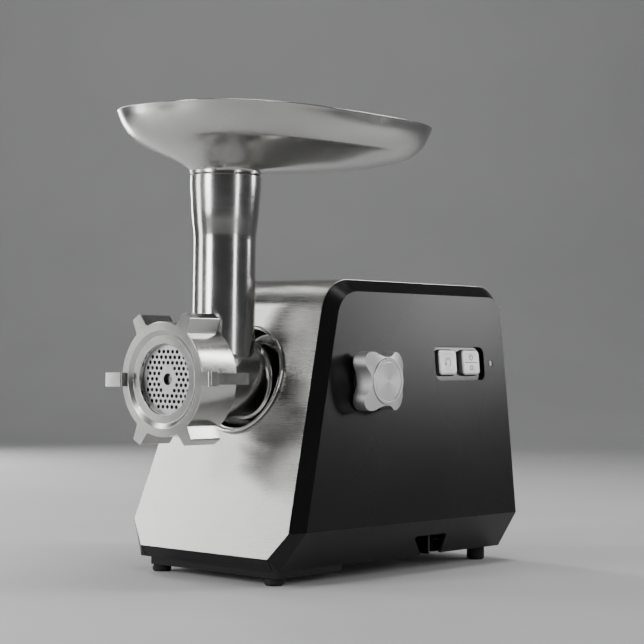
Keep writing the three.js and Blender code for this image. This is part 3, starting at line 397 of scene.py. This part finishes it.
def rounded(corners, radius, steps=6, closed=True):
    """Polygon with arcs for corners. radius is one number, or one for each corner. Nearly straight
    corners stay as they are, and no arc takes more than about half of either side."""
    count = len(corners)
    radii = radius if isinstance(radius, (list, tuple)) else [radius] * count
    outline = []
    for i, corner in enumerate(Vector(c) for c in corners):
        if not radii[i] or (not closed and i in (0, count - 1)):
            outline.append(tuple(corner))
            continue
        before = Vector(corners[i - 1]) - corner
        after = Vector(corners[(i + 1) % count]) - corner
        half = before.angle(after) / 2
        if half > math.radians(89.5):
            outline.append(tuple(corner))
            continue
        reach = min(radii[i] / math.tan(half), 0.48 * before.length, 0.48 * after.length)
        real = reach * math.tan(half)
        start = corner + before.normalized() * reach
        centre = corner + (before.normalized() + after.normalized()).normalized() * (real / math.sin(half))
        arm = start - centre
        stop = corner + after.normalized() * reach - centre
        turn = math.atan2(arm.x * stop.y - arm.y * stop.x, arm.dot(stop))
        for k in range(steps + 1):
            a = turn * k / steps
            outline.append((centre.x + arm.x * math.cos(a) - arm.y * math.sin(a),
                            centre.y + arm.x * math.sin(a) + arm.y * math.cos(a)))
    return outline


def circle(u, v, radius, sides=ROUND):
    return [(u + radius * math.cos(2 * math.pi * i / sides), v + radius * math.sin(2 * math.pi * i / sides))
            for i in range(sides)]


def rectangle(u0, u1, v0, v1):
    return [(u0, v0), (u1, v0), (u1, v1), (u0, v1)]


SET_AXIS = {
    "X": lambda u, v, depth: (depth, u, v),
    "Y": lambda u, v, depth: (u, depth, v),
    "Z": lambda u, v, depth: (u, v, depth),
}


def stack(name, rings):
    """Solid through 3-D rings of equal count, closed by flat ends."""
    count = len(rings[0])
    faces = [tuple(range(count)), tuple(range((len(rings) - 1) * count, len(rings) * count))]
    faces += band_faces(len(rings) - 1, count)
    return mesh_object(name, [p for ring in rings for p in ring], faces)


def band_faces(bands, count, wrap=False):
    total = (bands + 1) * count
    faces = []
    for r in range(bands + (1 if wrap else 0)):
        for i in range(count):
            j = (i + 1) % count
            faces.append(tuple(k % total for k in (r * count + i, r * count + j, (r + 1) * count + j,
                                                   (r + 1) * count + i)))
    return faces


def tube_loft(name, rings):
    """Solid through rings of which the last joins the first."""
    return mesh_object(name, [p for ring in rings for p in ring],
                       band_faces(len(rings) - 1, len(rings[0]), wrap=True))


def prism(name, outline, axis, low, high):
    return stack(name, [[SET_AXIS[axis](u, v, depth) for u, v in outline] for depth in (low, high)])


def lathe(name, profile, axis="Y", at=(0, AXIS_Z), sides=ROUND, fillet=0.0, steps=3):
    """Turned solid. The profile holds (radius, along) pairs, open on the axis or a closed loop."""
    closed = profile[0][0] > 0
    shape = rounded(profile, fillet, steps, closed) if fillet else profile
    rings = []
    for radius, along in shape:
        rings.append([SET_AXIS[axis](u, v, along) for u, v in circle(at[0], at[1], max(radius, 1e-3), sides)])
    made = tube_loft(name, rings) if closed else stack(name, rings)
    edit(made, lambda form: bmesh.ops.remove_doubles(form, verts=form.verts, dist=4e-6))
    return made


def hull(name, points):
    made = mesh_object(name, points, [])

    def wrap(form):
        result = bmesh.ops.convex_hull(form, input=form.verts)
        unused = result["geom_interior"] + result["geom_unused"]
        spare = [item for item in unused if isinstance(item, bmesh.types.BMVert)]
        bmesh.ops.delete(form, geom=list(set(spare)), context="VERTS")
        bmesh.ops.recalc_face_normals(form, faces=form.faces)
    edit(made, wrap)
    return made


def block(name, x0, x1, y0, y1, z0, z1):
    return prism(name, rectangle(x0, x1, y0, y1), "Z", z0, z1)


def rod(name, radius, axis, low, high, at=(0, AXIS_Z), sides=ROUND):
    return prism(name, circle(at[0], at[1], radius, sides), axis, low, high)


def place(piece, body, slot, *replaced, material=None):
    """Give a finished piece its material, from its slot unless one is given, put it under its body, and hide
    the CAD nodes it stands for.
    """
    piece.data.materials.clear()
    piece.data.materials.append(material or MATERIALS[slot])
    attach(piece, body)
    if replaced:
        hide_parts(*replaced)
    return piece


# ---------- body ----------
def front_at(z):
    return FRONT_Y + FRONT_SLOPE * (z - CREASE_Z)


def half_width_at(z):
    return HALF_WIDTH - SIDE_TAPER * (z - CREASE_Z)


def side_outline(inset, bottom_z, steps=20):
    """Side view of the body in (y, z), moved in by inset."""
    top, rear = TOP_Z - inset, REAR_Y - inset
    corners = [(front_at(bottom_z) + inset, bottom_z), (rear, bottom_z), (rear, top),
               (front_at(top) + inset, top)]
    return rounded(corners, [0, 0, REAR_RADIUS - inset, FRONT_RADIUS - inset], steps)


def middle_outline(grow, bottom_z=None):
    """Front view, in (x, z), of what lies between the two side covers."""
    foot = STEEL_BOTTOM_Z if bottom_z is None else bottom_z
    right = [(STEEL_FOOT_HALF + grow, foot)]
    if foot < STEEL_BOTTOM_Z:
        right.append((STEEL_FOOT_HALF + grow, STEEL_BOTTOM_Z))
    over = TOP_Z + 20
    right += [(HALF_WIDTH + grow, CREASE_Z - 1), (half_width_at(over) + grow, over)]
    return right + [(-x, z) for x, z in reversed(right)]


def body_envelope(name, inset, bottom_z):
    """The body's outer shape, moved in by inset. Below the skirt it runs on along the same slopes."""
    near = inset * math.tan(math.pi / 8)
    points = []

    def both(x, y, z):
        points.extend([(x, y, z), (-x, y, z)])
    for y, z in side_outline(inset, CREASE_Z - 1):
        both(half_width_at(z) - near, y, z)
    for y, z in side_outline(BEVEL + near, CREASE_Z):
        both(half_width_at(z) + BEVEL - inset, y, z)
    for y in (front_at(STEEL_BOTTOM_Z) + inset, REAR_Y - inset):
        both(STEEL_FOOT_HALF - near, y, STEEL_BOTTOM_Z)
    further = (SKIRT_Z - bottom_z) / (CREASE_Z - SKIRT_Z)
    half = SKIRT_HALF - inset - further * (HALF_WIDTH + BEVEL - SKIRT_HALF)
    front = front_at(SKIRT_Z) + BEVEL + inset + further * (BEVEL + front_at(SKIRT_Z) - FRONT_Y)
    both(half, front, bottom_z)
    both(half, REAR_Y - BEVEL - inset - further * BEVEL, bottom_z)
    return hull(name, points)


def cover(side):
    """Side cover: shell outside the steel, with the grip, and on the right the controls' openings."""
    hand = "right" if side > 0 else "left"
    shell = body_envelope(f"cover_shell_{hand}", 0, SKIRT_Z)
    away = sorted((-side * 100, side * 20))
    cut(shell, body_envelope("hollow", COVER_WALL, SKIRT_Z - 6),
        prism("middle", middle_outline(GAP, SKIRT_Z - 2), "Y", 0, REAR_Y + 5),
        block("other side", *away, 0, REAR_Y + 5, 0, TOP_Z + 5))
    cut(shell, prism("grip", rounded(GRIP, [1.5, 0, 0, 1.5], 4), "X", *sorted((side * 60, side * 95))))
    if side > 0:
        opening = rectangle(WINDOW["y0"], WINDOW["y1"], WINDOW["z0"], WINDOW["z1"])
        cut(shell, prism("window", rounded(opening, WINDOW["corner"]), "X", 60, 90),
            rod("lens hole", 2.9, "X", 60, 90, (LENS["y"], LENS["z"]), 32),
            rod("screw hole", 5, "X", 50, 100, (KNOB_Y, AXIS_Z), 48))
    return place(soften(shell, 0.45, 3), "housing", "black_plastic", f"side_cover_{hand}")


def knob_collar():
    """Shallow round boss that the knob tightens against."""
    bore, rim = 5, 19
    low, high = half_width_at(AXIS_Z) + BEVEL - 2.2, knob_low.x - 0.5
    profile = [(bore, low), (rim, low), (rim, high), (bore, high)]
    collar = lathe("knob_collar", profile, "X", (KNOB_Y, AXIS_Z), ROUND, 0.5)
    return place(smooth(collar), "housing", "black_plastic")


def steel_wrap():
    wrap = prism("brushed_wrap", side_outline(0, STEEL_BOTTOM_Z), "X", -90, 90)
    cut(wrap, prism("inside", side_outline(SHEET, STEEL_BOTTOM_Z - 5), "X", -91, 91),
        block("panel opening", -91, 91, REAR_Y - 40, REAR_Y + 5, 0, PANEL_TOP_Z),
        rod("socket hole", SOCKET_RADIUS + GAP, "Y", 0, 130))
    common(wrap, prism("between covers", middle_outline(0), "Y", 0, REAR_Y + 5))
    return place(soften(wrap, 0.2, 2), "housing", "brushed_steel", "steel_wrap")


def socket_rim():
    """Bright rolled bead that follows the socket's mouth over the slanted front."""
    rings = []
    bead, sides = 1.5, 16
    for i in range(ROUND):
        angle = 2 * math.pi * i / ROUND
        ring = []
        for k in range(sides):
            turn = 2 * math.pi * k / sides
            radius = SOCKET_RADIUS + 0.4 + bead * math.cos(turn)
            z = AXIS_Z + radius * math.sin(angle)
            ring.append((radius * math.cos(angle), front_at(z) - 1.9 + bead * math.sin(turn), z))
        rings.append(ring)
    return place(smooth(tube_loft("rolled_rim", rings)), "housing", "polished_metal", "socket_rim")


def head_socket():
    """Polished cup, its tone painted darker as the shade and dark reflections inside the socket: its wall is
    cut along the slanted front.
    """
    inner, bottom = SOCKET_RADIUS - 1.5, socket_high.y
    neck = 27.8
    rings = []

    def ring(radius, depth=None):
        """A ring at one depth, or without a depth one that follows the slanted front."""
        rings.append([(u, front_at(v) + GAP if depth is None else depth, v)
                      for u, v in circle(0, AXIS_Z, radius)])
    ring(inner)
    ring(SOCKET_RADIUS)
    for radius, depth in rounded([(SOCKET_RADIUS, bottom - 9), (SOCKET_RADIUS, bottom), (neck, bottom),
                                  (neck, bottom - 3), (inner, bottom - 3), (inner, bottom - 12)],
                                 [0, 1, 0.5, 0.5, 4, 0], 6, False):
        ring(radius, depth)
    return place(smooth(tube_loft("socket_cup", rings)), "housing", "socket_metal", "head_socket")


# ---------- head ----------
TUBE_COLLAR = 25.9                # outer radius at the top of the feed tube


def barrel():
    """Casting of barrel, feed tube and neck, with the tube's own turned finish."""
    front = 0.6
    shell = lathe("head_casting", [
        (0, front), (34.6, front), (35.5, front + 1), (35.5, 24), (33, 29.5), (27.5, 32), (27.5, 75),
        (30, 76), (30, 80), (27, 81), (27, head_high.y - 1), (26, head_high.y), (0, head_high.y)], fillet=0.7)
    top = head_high.z
    tube = lathe("tube", [
        (0, AXIS_Z), (22.7, AXIS_Z), (22.7, 245), (22.9, 250), (24.0, 259), (24.7, 266), (25.2, 275),
        (TUBE_COLLAR, 284), (TUBE_COLLAR, top - 1), (TUBE_COLLAR - 1, top), (0, top)], "Z", (0, TUBE_Y))
    join(shell, tube)
    cut(shell, rod("plate seat", 31.4, "Y", front - 1, 13.5), rod("bore", 24.5, "Y", 10, 134),
        rod("shaft hole", 9, "Y", 130, head_high.y + 1),
        lathe("feed bore", [(0, AXIS_Z), (20, AXIS_Z), (20, 280.5), (22.4, 280.7), (22.4, top + 1),
                            (0, top + 1)], "Z", (0, TUBE_Y)))
    soften(shell, 0.35, 2, 32)
    shell = place(shell, "grinder_head", "cast_metal", "grinder_head")
    shell.data.materials.append(TUBE_METAL)
    above = AXIS_Z + 31
    for face in shell.data.polygons:
        if machine(face.center).z > above:
            face.material_index = 1
    return shell


def plate_holes(pitch):
    """Centres of the small holes: rows of a triangular grid, mirrored in x and z."""
    spans = [(2.5, 4.5), (2, 4), (1.5, 4.5), (0, 4), (0.5, 3.5), (0, 2)]   # first and last in each row
    centres = []
    for row, (first, last) in enumerate(spans):
        offset = first
        while offset <= last:
            for side_x in ((-1, 1) if offset else (1,)):
                for side_z in ((-1, 1) if row else (1,)):
                    centres.append((side_x * offset * pitch,
                                    side_z * row * pitch * math.sin(math.pi / 3)))
            offset += 1
    return centres


def chamfered_sheet(rings, thick, chamfer):
    """Mesh of a flat sheet whose outline and holes are rings of (u, v, radius, sides)."""
    curve = bpy.data.curves.new("plate", "CURVE")
    curve.dimensions = "2D"
    curve.fill_mode = "BOTH"
    curve.extrude = thick / 2 - chamfer
    curve.bevel_depth = chamfer
    curve.bevel_resolution = 1
    for u, v, size, sides in rings:
        spline = curve.splines.new("POLY")
        spline.points.add(sides - 1)
        spline.use_cyclic_u = True
        for target, (x, y) in zip(spline.points, circle(u, v, size, sides)):
            target.co = (x, y, 0, 1)
    drawn = bpy.data.objects.new("plate curve", curve)
    bpy.context.scene.collection.objects.link(drawn)
    bpy.context.view_layer.update()
    mesh = bpy.data.meshes.new_from_object(drawn.evaluated_get(bpy.context.evaluated_depsgraph_get()))
    bpy.data.objects.remove(drawn)
    return mesh


def hole_plate():
    """Chamfered plate with its 78 holes, stood up on the auger's axis; the holes' walls are painted
    near-black as shade.
    """
    hole, centre_hole, chamfer = 1.4, 4.2, 0.12
    radius = (plate_high.x - plate_low.x) / 2 / MM
    thick = (plate_high.y - plate_low.y) / MM
    rings = [(0, 0, radius - chamfer, ROUND), (0, 0, centre_hole + chamfer, 48)]
    rings += [(u, v, hole + chamfer, 20) for u, v in plate_holes(4.5)]
    mesh = chamfered_sheet(rings, thick, chamfer)
    stand = Matrix(((1, 0, 0, 0), (0, 0, -1, thick / 2), (0, 1, 0, AXIS_Z), (0, 0, 0, 1)))
    mesh.transform(Matrix.Translation(ORIGIN) @ Matrix.Scale(MM, 4) @ stand)
    plate = bpy.data.objects.new("perforated_plate", mesh)
    bpy.context.scene.collection.objects.link(plate)
    edit(plate, lambda form: bmesh.ops.remove_doubles(form, verts=form.verts, dist=2e-6))
    edit(plate, lambda form: bmesh.ops.recalc_face_normals(form, faces=form.faces))
    place(smooth(plate, 40), "hole_plate", "tool_steel", "hole_plate")
    # The holes' walls take the painted shade as a second material.
    plate.data.materials.append(HOLE_SHADE)
    for face in plate.data.polygons:
        where = machine(face.center)
        if abs(face.normal.y) < 0.5 and math.hypot(where.x, where.z - AXIS_Z) < radius - 1:
            face.material_index = 1
    return plate


def spin(piece, degrees):
    """Turn a piece's mesh round the auger's axis; positive turns x towards z."""
    centre = ORIGIN + Vector((0, 0, AXIS_Z)) * MM
    turn = Matrix.Rotation(math.radians(-degrees), 4, "Y")
    piece.data.transform(Matrix.Translation(centre) @ turn @ Matrix.Translation(-centre))
    return piece


NUT_FRONT, NUT_BACK, NUT_RADIUS = -6, 28, 40.75
NUT_REST_ANGLE = 1.5


def nut_lug():
    """Short lug, drawn pointing along x, with swept roots."""
    reach, tip, root, fillet = 51.5, 4.2, 5.2, 4.5
    sunk, swell, shoulder = 37, 4.5, NUT_RADIUS - 0.8
    right = [(sunk, -root - swell), (shoulder, -root - 0.6), (reach, -tip)]
    outline = right + [(u, -v) for u, v in reversed(right)]
    lug = rounded([(u, AXIS_Z + v) for u, v in outline], [0, fillet, 1.3, 1.3, fillet, 0], 5)
    return prism("lug", lug, "Y", NUT_FRONT + 0.02, 23)


def nut_handle():
    """The two solids of a long handle, drawn pointing along x: a bar and its thicker front end."""
    inner, outer, half = 37, 53.5, 4
    bar_front, bar_end = nut_low.y + 4, outer - 0.4
    bar = rounded([(inner, bar_front), (bar_end, bar_front), (bar_end, NUT_BACK), (inner, NUT_BACK)],
                  [0, 0, 1.2, 0], 5)
    head_inner, head_end, head_half = inner - 0.35, nut_low.y + 9.5, half + 1
    head = rounded([(head_inner, nut_low.y), (outer, nut_low.y), (outer, head_end), (head_inner, head_end)],
                   [1.6, 2.2, 2, 0], 5)
    return (prism("handle", bar, "Z", AXIS_Z - half, AXIS_Z + half),
            prism("handle head", head, "Z", AXIS_Z - head_half, AXIS_Z + head_half))


def ring_nut():
    mouth, step, lip, thread = 34.75, 31.25, 24.8, 36
    nut = lathe("clamping_ring", [
        (thread, NUT_BACK), (NUT_RADIUS, NUT_BACK), (NUT_RADIUS, NUT_FRONT), (mouth, NUT_FRONT),
        (step, NUT_FRONT + 2), (lip + 0.5, NUT_FRONT + 2), (lip, NUT_FRONT + 2.5), (lip, -GAP),
        (thread, -GAP)], fillet=0.5)
    for degrees in (60, 120, 240, 300):
        join(nut, spin(nut_lug(), degrees + NUT_REST_ANGLE))
    for degrees in (0, 180):
        join(nut, *(spin(part, degrees + NUT_REST_ANGLE) for part in nut_handle()))
    notch = block("notch", 29, 31.2, NUT_FRONT + 1.6, NUT_FRONT + 3, AXIS_Z - 2, AXIS_Z + 2)
    cut(nut, spin(notch, 178))
    return place(soften(nut, 0.7, 3, 32), "ring_nut", "cast_metal", "ring_nut")


# ---------- tray ----------
def oblong(z, half_x, half_y, centre_y, power, count=144):
    """Superellipse at height z; a power of 2 gives an ellipse, more gives a squarer shape."""
    ring = []
    for i in range(count):
        angle = 2 * math.pi * i / count
        across, along = math.cos(angle), math.sin(angle)
        ring.append((math.copysign(abs(across) ** (2 / power), across) * half_x,
                     centre_y + math.copysign(abs(along) ** (2 / power), along) * half_y, z))
    return ring


def smooth_rows(rows, parts):
    """Catmull-Rom curve through rows of numbers."""
    out = []
    for i in range(len(rows) - 1):
        p0, p1, p2 = rows[max(i - 1, 0)], rows[i], rows[i + 1]
        p3 = rows[min(i + 2, len(rows) - 1)]
        for k in range(parts):
            t = k / parts
            out.append([0.5 * (2 * b + (c - a) * t + (2 * a - 5 * b + 4 * c - d) * t * t
                               + (3 * b - a - 3 * c + d) * t ** 3) for a, b, c, d in zip(p0, p1, p2, p3)])
    out.append(list(rows[-1]))
    return out


def hopper_tray():
    """Spun tray: lip, outside, spigot and inside as one run of rings."""
    half_x, half_y = (tray_high.x - tray_low.x) / 2, (tray_high.y - tray_low.y) / 2
    rim_z, power, wall, spigot = tray_high.z, 2.72, 1.4, 22
    tube_top, collar, spigot_z = head_high.z, TUBE_COLLAR, 282
    # drop below the rim, side inset, end inset, shift of the centre towards the tube
    rows = [(0, 0, 0, 0), (8, 1.5, 1.8, 0), (15, 4, 4.6, 0), (21, 8.2, 9.4, 0.8), (24.5, 13, 14.8, 2.2),
            (29, 24, 27, 8), (34, 38, 46, 17), (38.5, 51, 73, 35), (42.5, 60, 101, 55.5)]
    bowl = smooth_rows(rows, 4)

    def level(row, inward=0.0, up=0.0):
        drop, side, end, shift = row
        return oblong(rim_z - drop + up, half_x - side - inward, half_y - end - inward, TRAY_Y - shift,
                      power - (power - 2) * min(1, drop / 43))

    def ring(z, radius):
        return oblong(z, radius, radius, TUBE_Y, 2)
    lip = []
    for k in range(7):
        a = math.pi * k / 6
        lip.append(oblong(rim_z - wall / 2 + wall / 2 * math.sin(a), half_x - wall / 2 * (1 - math.cos(a)),
                          half_y - wall / 2 * (1 - math.cos(a)), TRAY_Y, power))
    outer = [level(row) for row in bowl[1:]]
    inner = [level(row, wall, wall) for row in bowl[1:-3]]
    profile = [(tube_top + 2.6, collar + 0.2), (tube_top + 0.9, collar + 0.3),
               (tube_top + GAP, collar - 0.4), (tube_top + GAP, spigot), (spigot_z, spigot),
               (spigot_z - 0.8, spigot - 0.3), (spigot_z - 1, spigot - 0.8), (spigot_z - 0.8, spigot - 1.3),
               (spigot_z, spigot - 1.6), (tube_top + 2, spigot - 1.6), (tube_top + 6, spigot - 0.8)]
    neck = [ring(z, radius) for z, radius in profile]
    tray = tube_loft("spun_tray", lip[::-1] + outer + neck + inner[::-1])
    return place(smooth(tray, 50), "hopper_tray", "tray_metal", "hopper_tray")


# ---------- controls ----------
def knob_outline(steps=14):
    """Four lobes joined by hollow arcs that are tangent to them, in (y, z) round the knob's axis."""
    lobe_at, lobe, waist = 19, 8, 17.6
    side = lobe_at / math.sqrt(2)
    hollow_at = (lobe_at ** 2 - (lobe - waist) ** 2) / (2 * (side + lobe - waist))
    touch = math.atan2(side, hollow_at - side)
    outline = []

    def arc(along, turned, radius, start, stop):
        for k in range(steps):
            a = turned + start + (stop - start) * k / steps
            outline.append((KNOB_Y + along * math.cos(turned) + radius * math.cos(a),
                            AXIS_Z + along * math.sin(turned) + radius * math.sin(a)))
    reach = math.pi / 4 + touch
    for quarter in range(4):
        turned = math.pi / 2 * quarter
        arc(hollow_at, turned, hollow_at - waist, math.pi + touch, math.pi - touch)
        arc(lobe_at, turned + math.pi / 4, lobe, -reach, reach)
    return outline


def knob():
    """Lobed knob with a cone for its front, and the round disc set into it."""
    tip, base = cap_high.x, knob_low.x
    seat, slope, wide, shoulder = 17.2, 0.46, 32, 0.9
    front = tip - shoulder
    body = prism("lobed_knob", knob_outline(), "X", base, tip)
    common(body, lathe("cone", [(0, base - 1), (wide, base - 1), (wide, front - slope * (wide - seat)),
                                (seat, front), (0, front)], "X", (KNOB_Y, AXIS_Z)))
    cut(body, rod("cap seat", seat, "X", tip - 2.6, tip + 1, (KNOB_Y, AXIS_Z)),
        rod("thread", 4.3, "X", base - 1, tip - 5, (KNOB_Y, AXIS_Z), 48))
    place(soften(body, 0.6, 3, 20), "lock_knob", "silver_plastic", "lock_knob")
    rim, back, field = 16.8, tip - 2.3, tip - 0.15
    cap = lathe("knob_disc", [
        (0, back), (rim, back), (rim, tip), (rim - 1.9, tip), (rim - 2.4, tip - 0.6), (rim - 3.0, field),
        (0, field)], "X", (KNOB_Y, AXIS_Z), ROUND, 0.25)
    place(smooth(cap, 30), "lock_knob", "silver_plastic", "knob_cap")


LEAN = math.atan(SIDE_TAPER)


def on_face(u, v, out, z):
    """A point u along the machine, v above height z and out from the tapered side face."""
    x = half_width_at(z) + BEVEL + out * math.cos(LEAN) - v * math.sin(LEAN)
    return (x, u, z + v * math.cos(LEAN) + out * math.sin(LEAN))


def face_stack(name, outlines, z):
    return stack(name, [[on_face(u, v, out, z) for u, v in outline] for outline, out in outlines])


def button(kind, centre_y):
    def outline(shrink):
        half_y, half_z = BUTTON["half_y"] - shrink, BUTTON["half_z"] - shrink
        return rounded(rectangle(centre_y - half_y, centre_y + half_y, -half_z, half_z),
                       max(BUTTON["corner"] - shrink, 1), 8)
    levels = [(0, -7), (0, -0.3), (0.12, 0.1), (0.5, 0.55), (1.0, 0.75), (1.6, 0.8)]
    cap = face_stack(f"{kind}_key", [(outline(shrink), out) for shrink, out in levels], BUTTON["z"])
    return place(smooth(cap, 40), f"button_{kind}", "silver_plastic", f"button_{kind}")


def mark(name, body, outline):
    """Thin printed mark that stands just proud of a button's face."""
    sunk, proud = 0.7, 0.86
    printed = face_stack(name, [(outline, sunk), (outline, proud)], BUTTON["z"])
    return place(printed, body, "silver_plastic", material=INK)


def arc_band(u, v, radius, width, start, stop, steps=20):
    """Outline of a curved stroke round (u, v), between two angles in degrees."""
    angles = [math.radians(start + (stop - start) * k / steps) for k in range(steps + 1)]

    def edge(size):
        return [(u + size * math.cos(a), v + size * math.sin(a)) for a in angles]
    return edge(radius + width / 2) + edge(radius - width / 2)[::-1]


def controls():
    button("reverse", BUTTON["reverse_y"])
    button("power", BUTTON["power_y"])
    line = 0.55
    u = BUTTON["reverse_y"]
    mark("reverse_arc", "button_reverse", arc_band(u, 0, 3.2, line, -60, 200))
    mark("reverse_arrow", "button_reverse", [(u - 4.6, -0.6), (u - 1.8, -0.6), (u - 3.2, -2.9)])
    u = BUTTON["power_y"]
    mark("divider", "button_power", rectangle(u - 8.4, u + 8.4, -line / 2, line / 2))
    mark("power_ring", "button_power", arc_band(u, 4, 2.1, line, 125, 415))
    mark("power_bar", "button_power", rectangle(u - line / 2, u + line / 2, 4.1, 7))
    mark("reset_dot", "button_power", arc_band(u, -4.2, 1.7, line, 0, 355))
    bezel()
    levels = [(1.0, -4.5), (1.0, -0.1), (0.93, 0.1), (0.75, 0.24), (0.4, 0.34), (0.05, 0.38)]
    lens = face_stack("indicator_window", [
        ([(LENS["y"] + LENS["half_y"] * s * c, LENS["half_z"] * s * d) for c, d in circle(0, 0, 1, 40)], out)
        for s, out in levels], LENS["z"])
    place(smooth(lens, 50), "housing", "lens_white", "indicator_lens")


def bezel():
    """Glossy floor of the control window, with an opening round each button."""
    low, high = -COVER_WALL - 2.8, -COVER_WALL - 0.4
    margin, room = 4, 0.6
    border = rounded(rectangle(WINDOW["y0"] - margin, WINDOW["y1"] + margin,
                               WINDOW["z0"] - margin - BUTTON["z"], WINDOW["z1"] + margin - BUTTON["z"]), 5)
    floor = face_stack("window_floor", [(border, low), (border, high)], BUTTON["z"])
    half_y, half_z = BUTTON["half_y"] + room, BUTTON["half_z"] + room
    for y in (BUTTON["reverse_y"], BUTTON["power_y"]):
        hole = rounded(rectangle(y - half_y, y + half_y, -half_z, half_z), BUTTON["corner"] + 0.4)
        cut(floor, face_stack("hole", [(hole, low - 2), (hole, high + 2)], BUTTON["z"]))
    place(soften(floor, 0.25), "housing", "black_plastic", "button_bezel", material=GLOSS_BLACK)


# ---------- underside and back ----------
def feet():
    for end in ("front", "rear"):
        for side in ("right", "left"):
            node = f"foot_{end}_{side}"
            low, high = (machine(c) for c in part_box(node))
            radius = (high.x - low.x) / 2
            centre = ((low.x + high.x) / 2, (low.y + high.y) / 2)
            top, neck = high.z, radius - 0.7
            profile = [(0, 0.5), (radius - 3.2, 0.5), (radius - 2.6, 0), (radius - 1, 0), (radius, 1.2),
                       (radius, top - 1.2), (neck, top - 0.8), (neck, top), (0, top)]
            pad = lathe(f"{node}_pad", profile, "Z", centre, 48, 0.3, 2)
            place(smooth(pad, 40), "housing", "rubber", node)


def gland():
    low, high = (machine(c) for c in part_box("cable_gland"))
    at = ((low.x + high.x) / 2, (low.z + high.z) / 2)
    flange = (high.x - low.x) / 2
    bore, sleeve, seat = 3.6, 7, REAR_Y - 0.3
    profile = [(bore, low.y), (sleeve, low.y), (sleeve, seat), (flange, seat), (flange, REAR_Y),
               (5, REAR_Y), (bore, REAR_Y - 1.4)]
    piece = lathe("inlet_gland", profile, "Y", at, 48, 0.12, 2)
    place(smooth(piece, 40), "housing", "rubber", "cable_gland")


def carry_over():
    """CAD nodes that stay: bevelled edges and the material of their slot."""
    slots = {part["node"]: part["material_slot"] for part in frame["record"]["subparts"]}
    for node, piece in frame["nodes"].items():
        piece.data.materials.clear()
        piece.data.materials.append(MATERIALS[slots[node]])
        piece.data.shade_smooth()
        piece.data.set_sharp_from_angle(angle=math.radians(32))
        edges = piece.modifiers.new("edges", "BEVEL")
        edges.width = 0.25 * MM
        edges.segments = 2
        edges.limit_method = "ANGLE"
        edges.angle_limit = math.radians(40)
        edges.harden_normals = True


# ---------- studio ----------
def stage():
    """Pale floor that sweeps up into a pale backdrop, turned to face the camera."""
    azimuth = math.radians(CAMERA["azimuth"])
    away = Vector((-math.sin(azimuth), math.cos(azimuth), 0))
    right = Vector((math.cos(azimuth), math.sin(azimuth), 0))
    near, bend, height, half, radius, steps = -2.6, 1.7, 3.2, 4.0, 0.9, 16    # metres
    outline = [(near, 0), (bend, 0)]
    for k in range(1, steps + 1):
        angle = math.radians(90 * k / steps)
        outline.append((bend + math.sin(angle) * radius, radius - math.cos(angle) * radius))
    outline.append((bend + radius, height))
    points, faces = [], []
    for depth, up in outline:
        for side in (-half, half):
            points.append(away * depth + right * side + Vector((0, 0, up)))
    for k in range(len(outline) - 1):
        faces.append((2 * k, 2 * k + 1, 2 * k + 3, 2 * k + 2))
    mesh = bpy.data.meshes.new("sweep")
    mesh.from_pydata([tuple(p) for p in points], [], faces)
    mesh.shade_smooth()
    sweep = bpy.data.objects.new("sweep", mesh)
    bpy.context.scene.collection.objects.link(sweep)
    paper = Shader("paper", Roughness=0.6, Specular_IOR_Level=0.25)
    tone = paper.spread(paper.noise(paper.place(), 0.004, 3), 0, 1)
    paper.link(paper.tint(tone, (0.66, 0.66, 0.665), (0.7, 0.7, 0.7)), "Base Color")
    mesh.materials.append(paper.material)


def lamp(name, at, target, size, power, height=None):
    """Area lamp, square or with a height of its own, turned to its target; metres and watts."""
    data = bpy.data.lights.new(name, "AREA")
    data.energy = power
    data.size = size
    if height:
        data.shape = "RECTANGLE"
        data.size_y = height
    made = bpy.data.objects.new(name, data)
    made.location = at
    made.rotation_euler = (Vector(target) - Vector(at)).to_track_quat("-Z", "Y").to_euler()
    bpy.context.scene.collection.objects.link(made)


def around(azimuth, distance, height):
    """A point round the machine; azimuth 0 is in front of it and 90 on the side with the knob."""
    a = math.radians(azimuth)
    return (distance * math.sin(a), -distance * math.cos(a), height)


def lights():
    centre = (0, 0, 0.17)
    lamp("front softbox", around(-53, 1.5, 0.6), centre, 0.34, 7.5, 1.2)
    lamp("front fill", around(-14, 1.6, 0.6), centre, 0.45, 13, 0.9)
    lamp("left edge", around(-105, 1.4, 0.6), centre, 0.25, 11, 1.2)
    lamp("overhead", (0.1, 0.15, 1.6), centre, 0.7, 9)
    lamp("rear strip", around(144, 1.5, 0.8), centre, 0.25, 8, 1.0)
    lamp("right edge", around(80, 1.6, 0.55), centre, 0.12, 4, 1.0)
    world = bpy.data.worlds.new("studio")
    world.use_nodes = True
    background = world.node_tree.nodes["Background"]
    background.inputs["Color"].default_value = (0.92, 0.95, 1.0, 1)
    background.inputs["Strength"].default_value = 0.06
    bpy.context.scene.world = world


def build():
    carry_over()
    for side in (1, -1):
        cover(side)
    knob_collar()
    steel_wrap()
    socket_rim()
    head_socket()
    barrel()
    hole_plate()
    ring_nut()
    hopper_tray()
    knob()
    controls()
    feet()
    gland()
    stage()
    lights()


build()
